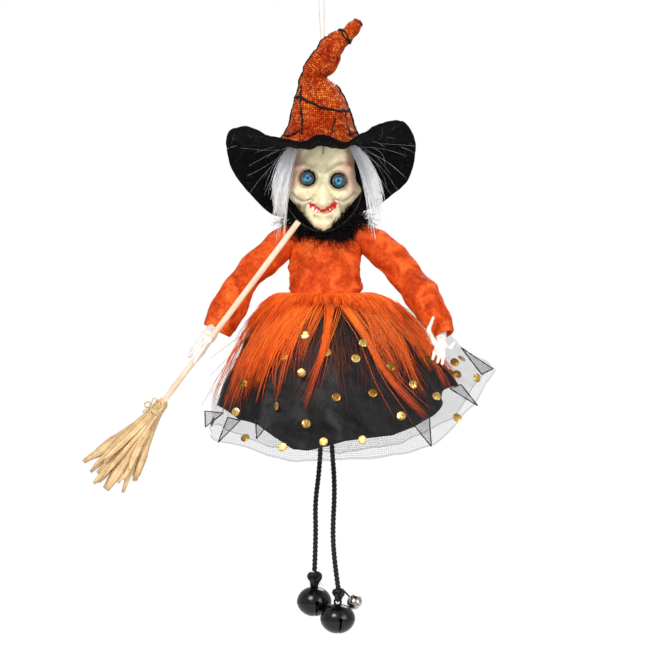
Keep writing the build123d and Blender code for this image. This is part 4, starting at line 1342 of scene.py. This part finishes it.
def foil_dots(net_points):
    """Gold foil dots stuck to the net, on a staggered pattern."""
    normals = grid_normals(net_points)
    if (normals[60, 200] @ (net_points[60, 200] - net_points[60, 20])) < 0:
        normals = -normals
    rows, columns, _ = net_points.shape
    front = net_points[..., 1] < -2
    spots = []
    for x, z in FRONT_DOTS:
        apart = np.hypot(net_points[..., 0] - x, net_points[..., 2] - z) + 1e3 * ~front
        spots.append(divmod(int(np.argmin(apart)), columns))
    for number, row in enumerate((24, 40, 56, 72)):
        here = np.flatnonzero(net_points[row, :, 1] > 6)
        step = max(1, int(20 / np.linalg.norm(net_points[row, 1] - net_points[row, 0])))
        spots += [(row, column) for column in here[(number % 2) * step // 2::step]]
    corners, parts = 20, []
    turn = np.linspace(0, 2 * math.pi, corners, endpoint=False)
    for number, (row, column) in enumerate(spots):
        row = min(max(row, 2), rows - 3)
        middle, out = net_points[row, column], normals[row, column]
        across = unit(np.cross(out, (0, 0, 1.0)))
        up = np.cross(across, out)
        rings = []
        for radius, lift in ((0.02, 0.52), (1.3, 0.5), (2.1, 0.4), (2.3, 0.32), (2.3, 0.14),
                             (2.0, 0.1), (0.02, 0.1)):
            rings.append(middle + out * lift + radius * (np.cos(turn)[:, None] * across
                                                         + np.sin(turn)[:, None] * up))
        points = np.array(rings).reshape(-1, 3)
        points += out * (0.07 * ripple(points, 2.0, number))[:, None]
        parts.append((points, grid_faces(len(rings), corners, True).tolist(),
                      np.zeros((len(points), 2))))
    points, faces, _ = joined(parts)
    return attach(make_mesh("skirt_foil_dots", points, faces, "gold_foil"), "torso")


def satin_front(x, z, lift):
    """Depth of the satin's front at a place seen from the front, less the lift."""
    drop = 70.0
    for _ in range(4):
        share = np.clip((WAIST[3] - z) / drop, 0.01, 1) ** (1 / FALL)
        out = share**FLARE
        middle = WAIST[0] + (SATIN["middle"] - WAIST[0]) * out**SHIFT
        wide = WAIST[1] + (SATIN["wide"] - WAIST[1]) * out
        cosine = np.clip((x - middle) / wide, -1, 1)
        hem_x = SATIN["middle"] + SATIN["wide"] * cosine
        drop = WAIST[3] - np.interp(hem_x, *zip(*SATIN_FRONT))
    return skirt_surface(-np.arccos(cosine), share, **SATIN)[..., 1] - lift


# Longer locks of the fur: root, two places on the way and the tip, seen from the front,
# with how many fibres it has and how far they spread
LOCKS = [
    ([(4.5, -171), (3.0, -188), (-3.0, -206), (-9.0, -224)], 46, 1.0),
    ([(7.5, -171), (4.5, -184), (0.5, -196), (-3.0, -207)], 20, 1.4),
    ([(12.0, -171), (23.0, -187), (34.0, -207), (54.5, -229)], 56, 1.0),
    ([(17.0, -171), (28.0, -186), (37.0, -202), (43.0, -216)], 22, 1.5),
    ([(27.0, -171), (40.0, -188), (46.0, -204), (51.5, -217)], 34, 1.4),
    ([(34.0, -171), (50.0, -184), (61.0, -197), (72.0, -211)], 44, 1.5),
    ([(0.0, -171), (-5.0, -182), (-9.0, -192), (-11.0, -200)], 22, 1.4),
]


def lock(draw, places, many, spread, count):
    """One lock: its fibres drawn together towards their tips, with a few that stray."""
    along = np.linspace(0, 1, count)
    line = rows_of(places, count)
    spot = along[None] * draw.uniform(0.62, 1.04, many)[:, None] * (count - 1)
    x = np.interp(spot, np.arange(count), line[:, 0])
    z = np.interp(spot, np.arange(count), line[:, 1])
    x = x + draw.normal(size=(many, 1)) * spread * (1.15 - 0.75 * along)
    z = z + draw.normal(size=(many, 1)) * 1.6
    stray = (draw.uniform(size=(many, 1)) < 0.25) * draw.normal(size=(many, 1)) * 6.0
    x = x + stray * along**2.2
    lift = 1.4 + draw.uniform(0, 3.2, (many, 1)) * np.sin(0.35 + 2.4 * along)
    return stacked(x, satin_front(x, z, lift), z)


TUFTS = 24  # to each radian round the waist


def fur_band(draw, many, count):
    """The dense fur all round the waist, longer at the sides than in front."""
    along = np.linspace(0, 1, count)
    around = draw.uniform(0, 2 * math.pi, many)
    number = (around * TUFTS).astype(int)
    own = np.random.default_rng(105).uniform(0, 1, (2, number.max() + 1))
    pull, long = own[:, number]
    aim = (number + 0.5 + 0.5 * (pull - 0.5)) / TUFTS
    sideways = np.abs(np.cos(around))
    reach = (0.13 + 0.12 * (np.sin(around) > 0.2) + 0.36 * sideways**3) * (0.55 + 0.75 * long)
    reach *= draw.uniform(0.55, 1.05, many)
    share = 0.01 + 0.025 * np.sin(around)[:, None] ** 2 + reach[:, None] * along[None]
    sway = 0.85 * (aim - around)[:, None] * along**1.5 + draw.normal(size=(many, 1)) * 0.02 * along
    paths = skirt_surface(around[:, None] + sway, share, **SATIN)
    away = unit(stacked(np.cos(around), np.sin(around), 0.55))
    puff = draw.uniform(0.3, 4.4, (many, 1)) * np.sin(np.clip(along * 1.6, 0, 2.0) * 1.2)
    return paths + away[:, None] * np.clip(puff + 0.9, 0.4, None)[..., None]


def fur_piece():
    """The long orange fur trim: a dense band at the waist and locks that fan over the skirt."""
    draw = np.random.default_rng(101)
    count = 8
    along = np.linspace(0, 1, count)
    lots = [fur_band(draw, 3400, count)]
    lots += [lock(draw, places, many, spread, count) for places, many, spread in LOCKS]
    for start, end, clumps, first, last in (
            ((-4.0, -25.0), (-21.0, -54.0), 28, -210.0, -226.0),
            ((20.0, 38.0), (33.0, 70.0), 13, -204.0, -214.0)):
        for step in np.linspace(0, 1, clumps):
            root = start[0] + (start[1] - start[0]) * step + draw.normal() * 2.0
            tip = end[0] + (end[1] - end[0]) * step + draw.normal() * 2.6
            low = first + (last - first) * step + draw.uniform(-4, 10)
            drop = low + 171
            places = [(root, -171), (root + (tip - root) * 0.42, -171 + drop * 0.3),
                      (root + (tip - root) * 0.75, -171 + drop * 0.64), (tip, low)]
            lots.append(lock(draw, places, 17, 0.8, count))
    few = 240
    x0 = draw.uniform(-30, 46, few)
    down = draw.uniform(8, 34, few)
    x = (x0[:, None] + (x0[:, None] - 5) * 0.35 * along * down[:, None] / 25
         + draw.normal(size=(few, 1)) * 5 * along**2)
    z = draw.uniform(-196, -174, few)[:, None] - down[:, None] * along
    lots.append(stacked(x, satin_front(x, z, 1.5 + 2 * draw.uniform(size=(few, 1))), z))
    paths = np.concatenate(lots)
    total = len(paths)
    wiggle = draw.uniform(2, 9, (total, 1)) * along + draw.uniform(0, 6, (total, 1))
    paths[..., 0] += 0.4 * np.sin(wiggle) * along
    paths[..., 2] += 0.3 * np.cos(wiggle) * along
    radii = np.array([0.16, 0.16, 0.16, 0.15, 0.14, 0.12, 0.1, 0.06])
    radii = np.repeat(radii[None], total, axis=0)
    radii[-few:] *= 0.4
    points, faces = strands(paths, radii)
    tint = strand_tint(paths, [(255, 112, 36), (255, 116, 40), (255, 108, 36), (200, 76, 28)],
                       0.42, 102)
    tint[-few:] *= 0.3
    made = make_mesh("fur_trim_fibres", points, faces, "orange_fur", tint=tint)
    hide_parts("fur_trim")
    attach(made, "torso")

    rows = 20
    turn = round_from_back(181)
    down = np.linspace(0, 1, rows)[:, None]
    share = 0.004 + 0.02 * np.sin(turn) ** 2 + 0.1 * down
    points = skirt_surface(turn, share, **SATIN)
    lift = 0.6 + 1.2 * np.sin(down * math.pi) + 0.4 * ripple(points, 6.0, 103)
    away = unit(stacked(np.cos(turn), np.sin(turn), 0.6 + 0 * share))
    points = points + away * lift[..., None]
    tint = np.broadcast_to(paint(240, 84, 18), points.shape)
    made = make_mesh("fur_trim_backing", points, grid_faces(rows, 181), "orange_fur", tint=tint)
    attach(made, "torso")


skirt_pieces()
fur_piece()

# ---------------------------------------------------------------- hands and broom

PALMS = {"right": (-57.8, -12.0, -186.6), "left": (60.9, -28.2, -190.5)}
CUFF_ENDS = {"right": (-53.6, -6.0, -180.4), "left": (61.4, -22.6, -184.2)}
FINGERS = {
    "right": [
        [(-57.2, -17.6, -188.6), (-61.8, -17.2, -195.0), (-65.2, -15.8, -200.4)],
        [(-58.6, -17.8, -187.6), (-63.2, -17.4, -193.9), (-66.6, -15.8, -199.0)],
        [(-60.0, -16.6, -186.8), (-64.4, -16.0, -192.6), (-67.8, -14.6, -197.4)],
        [(-60.6, -14.0, -186.6), (-65.0, -13.6, -191.4), (-68.0, -12.6, -195.4)],
        [(-57.6, -11.0, -189.5), (-60.8, -10.2, -195.0), (-64.0, -10.6, -199.6)],
    ],
    "left": [
        [(57.9, -30.4, -190.4), (54.7, -32.6, -183.6), (56.9, -33.2, -177.2)],
        [(59.1, -30.2, -192.0), (57.7, -32.2, -195.0), (56.7, -33.2, -198.2)],
        [(60.7, -30.6, -192.6), (60.1, -32.6, -196.4), (59.1, -33.6, -199.8)],
        [(62.1, -30.6, -192.4), (62.3, -32.6, -196.8), (61.5, -33.6, -200.6)],
        [(63.3, -30.0, -191.4), (65.7, -32.6, -192.6), (67.7, -33.2, -189.8)],
    ],
}


def capsule(path, radii, corners=12):
    """A closed tube with rounded ends."""
    path, radii = np.asarray(path, float), np.asarray(radii, float)
    head, tail = unit(path[0] - path[1]), unit(path[-1] - path[-2])
    bend = np.radians([80, 55, 30])
    before = path[0] + np.outer(np.sin(bend), head) * radii[0]
    after = path[-1] + np.outer(np.sin(bend[::-1]), tail) * radii[-1]
    return tube(np.concatenate([before, path, after]),
                np.concatenate([np.cos(bend) * radii[0], radii, np.cos(bend[::-1]) * radii[-1]]),
                corners)


def hand_piece(side):
    """A thin bony hand, moulded in one piece."""
    palm, wrist = np.array(PALMS[side]), np.array(CUFF_ENDS[side])
    parts = [capsule(rows_of([wrist, (wrist * 2 + palm) / 3, (wrist + palm * 2) / 3, palm], 10),
                     np.linspace(2.8, 4.1 if side == "right" else 3.1, 10), 16)]
    for knuckle, middle, tip in FINGERS[side]:
        bone = rows_of([palm, (palm + knuckle) / 2, knuckle, (np.array(knuckle) + middle) / 2,
                        middle, (np.array(middle) + tip) / 2, tip], 22)
        share = np.linspace(0, 1, 22)
        radii = (1.6 - 0.82 * share + 0.28 * np.exp(-(((share - 0.34) / 0.06) ** 2))
                 + 0.26 * np.exp(-(((share - 0.67) / 0.06) ** 2)))
        parts.append(capsule(bone, radii))
    points, faces, _ = joined(parts)
    made = make_mesh(f"hand_{side}_moulded", points, faces, "hand_plastic")
    remesh = made.modifiers.new("whole", "REMESH")
    remesh.mode, remesh.voxel_size, remesh.use_smooth_shade = "VOXEL", 0.3 * MM, True
    smooth = made.modifiers.new("smooth", "SMOOTH")
    smooth.factor, smooth.iterations = 0.5, 5
    finished(made)
    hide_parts(f"hand_{side}")
    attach(made, f"forearm_{side}")


STICK_TOP, BROOM_TIE = np.array((-11.4, -29.0, -128.5)), np.array((-85.0, -6.35, -225.2))
GOLDEN_ANGLE = 2.39996  # spreads the straws evenly over the bundle


def broom_pieces():
    """Flat raffia straws tied to the stick with a few turns of string."""
    down = unit(BROOM_TIE - STICK_TOP)
    across = unit(np.cross((0.0, 1.0, 0.0), down))
    deep = np.cross(down, across)
    draw = np.random.default_rng(111)
    parts = []
    straws, neck = 46, 1.7
    for number in range(straws):
        angle = number * GOLDEN_ANGLE
        inner = math.sqrt((number + 0.5) / straws)
        a, b = inner * math.cos(angle), inner * math.sin(angle)
        length = 49 + draw.uniform(-14, 4) - 4 * abs(a)
        top = -5.5 + draw.uniform(-1.5, 1.5)
        bend = draw.normal(size=2) * 1.6
        spots = []
        for share in np.linspace(0, 1, 10):
            step = top + (length - top) * share
            open_out = np.clip(step / length, 0, 1) ** 1.15
            spots.append(BROOM_TIE + down * step
                         + across * (a * (neck + 11.4 * open_out) + bend[0] * open_out**2)
                         + deep * (b * (neck * 0.85 + 5.4 * open_out) + bend[1] * open_out**2))
        path = rows_of(spots, 14)
        path += (ripple(path, 18.0, number)[:, None] * draw.normal(size=3) * 0.35
                 * np.linspace(0, 1, 14)[:, None])
        wide = draw.uniform(1.2, 2.9)
        radii = wide * np.interp(np.linspace(0, 1, 14), [0, 0.25, 0.8, 1], [0.75, 0.85, 1, 0.45])
        points, faces, uv = tube(path, radii, 6, flat=0.16)
        parts.append((points, faces, uv + draw.uniform(0, 0.2, 2)))
    straw = make_joined("broom_raffia", parts, "straw")
    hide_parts("broom_straw")
    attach(straw, "forearm_right")

    turn = np.linspace(0, 2 * math.pi * 4.3, 170)
    climb = np.linspace(-1.6, 1.6, 170) + 0.25 * np.sin(turn * 0.7)
    coil = (BROOM_TIE + np.outer(climb, down) + np.outer(3.15 * np.cos(turn), across)
            + np.outer(2.8 * np.sin(turn), deep))
    parts = [tube(coil, 0.38, 7)]
    knot = BROOM_TIE + across * 3.6 - deep * 1.0
    for loops in (
        [(0, 0, 0), (1.4, -1.0, -4.4), (-1.8, -1.8, -5.6), (-3.0, -1.4, -2.6), (0, 0, 0)],
        [(0, 0, 0), (1.8, 0.6, 2.0), (3.4, 1.2, 1.0), (2.2, 1.4, -1.2), (0.2, 0.2, 0)],
        [(0, 0, 0), (-1.2, -1.6, 1.4), (-2.4, -2.4, 2.6), (-2.2, -2.8, 4.2)],
        [(0, 0, 0), (1.2, -0.6, 3.0), (1.6, -0.2, 5.0)],
    ):
        path = np.array([knot + across * p[0] + deep * p[1] + down * p[2] for p in loops])
        parts.append(tube(rows_of(path, 28), 0.34, 6))
    parts.append(capsule([knot - across * 0.5, knot + across * 0.4], [0.75, 0.8]))
    tie = make_joined("broom_string", parts, "string")
    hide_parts("broom_tie")
    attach(tie, "forearm_right")


for arm in SIDES:
    hand_piece(arm)
broom_pieces()


# ---------------------------------------------------------------- stage

LIT = 0.62  # how strongly the white surroundings light the figure


def stage():
    """A pale floor well below the figure, and soft studio light."""
    floor_z, half = -0.62, 1.1
    bpy.ops.mesh.primitive_plane_add(size=2 * half, location=(0, 0, floor_z))
    floor = bpy.context.object
    floor.name = "floor"
    paper = Look("paper", Roughness=0.9)
    paper.set(Base_Color=paper.ramp(paper.noise(60.0), (0.3, 0.82), (0.7, 0.86)))
    floor.data.materials.append(paper.material)

    world = bpy.data.worlds.new("studio")
    world.use_nodes = True
    nodes, links = world.node_tree.nodes, world.node_tree.links
    seen, lit = nodes["Background"], nodes.new("ShaderNodeBackground")
    choose = nodes.new("ShaderNodeMixShader")
    links.new(nodes.new("ShaderNodeLightPath").outputs["Is Camera Ray"], choose.inputs[0])
    for number, (white, strength) in enumerate(((lit, LIT), (seen, 1.0)), 1):
        white.inputs["Color"].default_value = (1, 1, 1, 1)
        white.inputs["Strength"].default_value = strength
        links.new(white.outputs[0], choose.inputs[number])
    links.new(choose.outputs[0], nodes["World Output"].inputs["Surface"])
    scene.world = world
    middle = Vector((0.0, 0.0, -0.17))
    for name, place, size, watts in (
        ("key", (-0.6, -1.1, 0.65), 0.6, 17.0),
        ("fill", (0.9, -0.9, 0.1), 0.8, 7.0),
        ("rim", (0.3, 1.0, 0.6), 0.7, 8.0),
    ):
        light = bpy.data.lights.new(name, "AREA")
        light.shape, light.size, light.energy = "DISK", size, watts
        lamp = add_object(name, light)
        lamp.location = place
        lamp.rotation_euler = (middle - lamp.location).to_track_quat("-Z", "Y").to_euler()
    scene.view_settings.view_transform = "Standard"


stage()
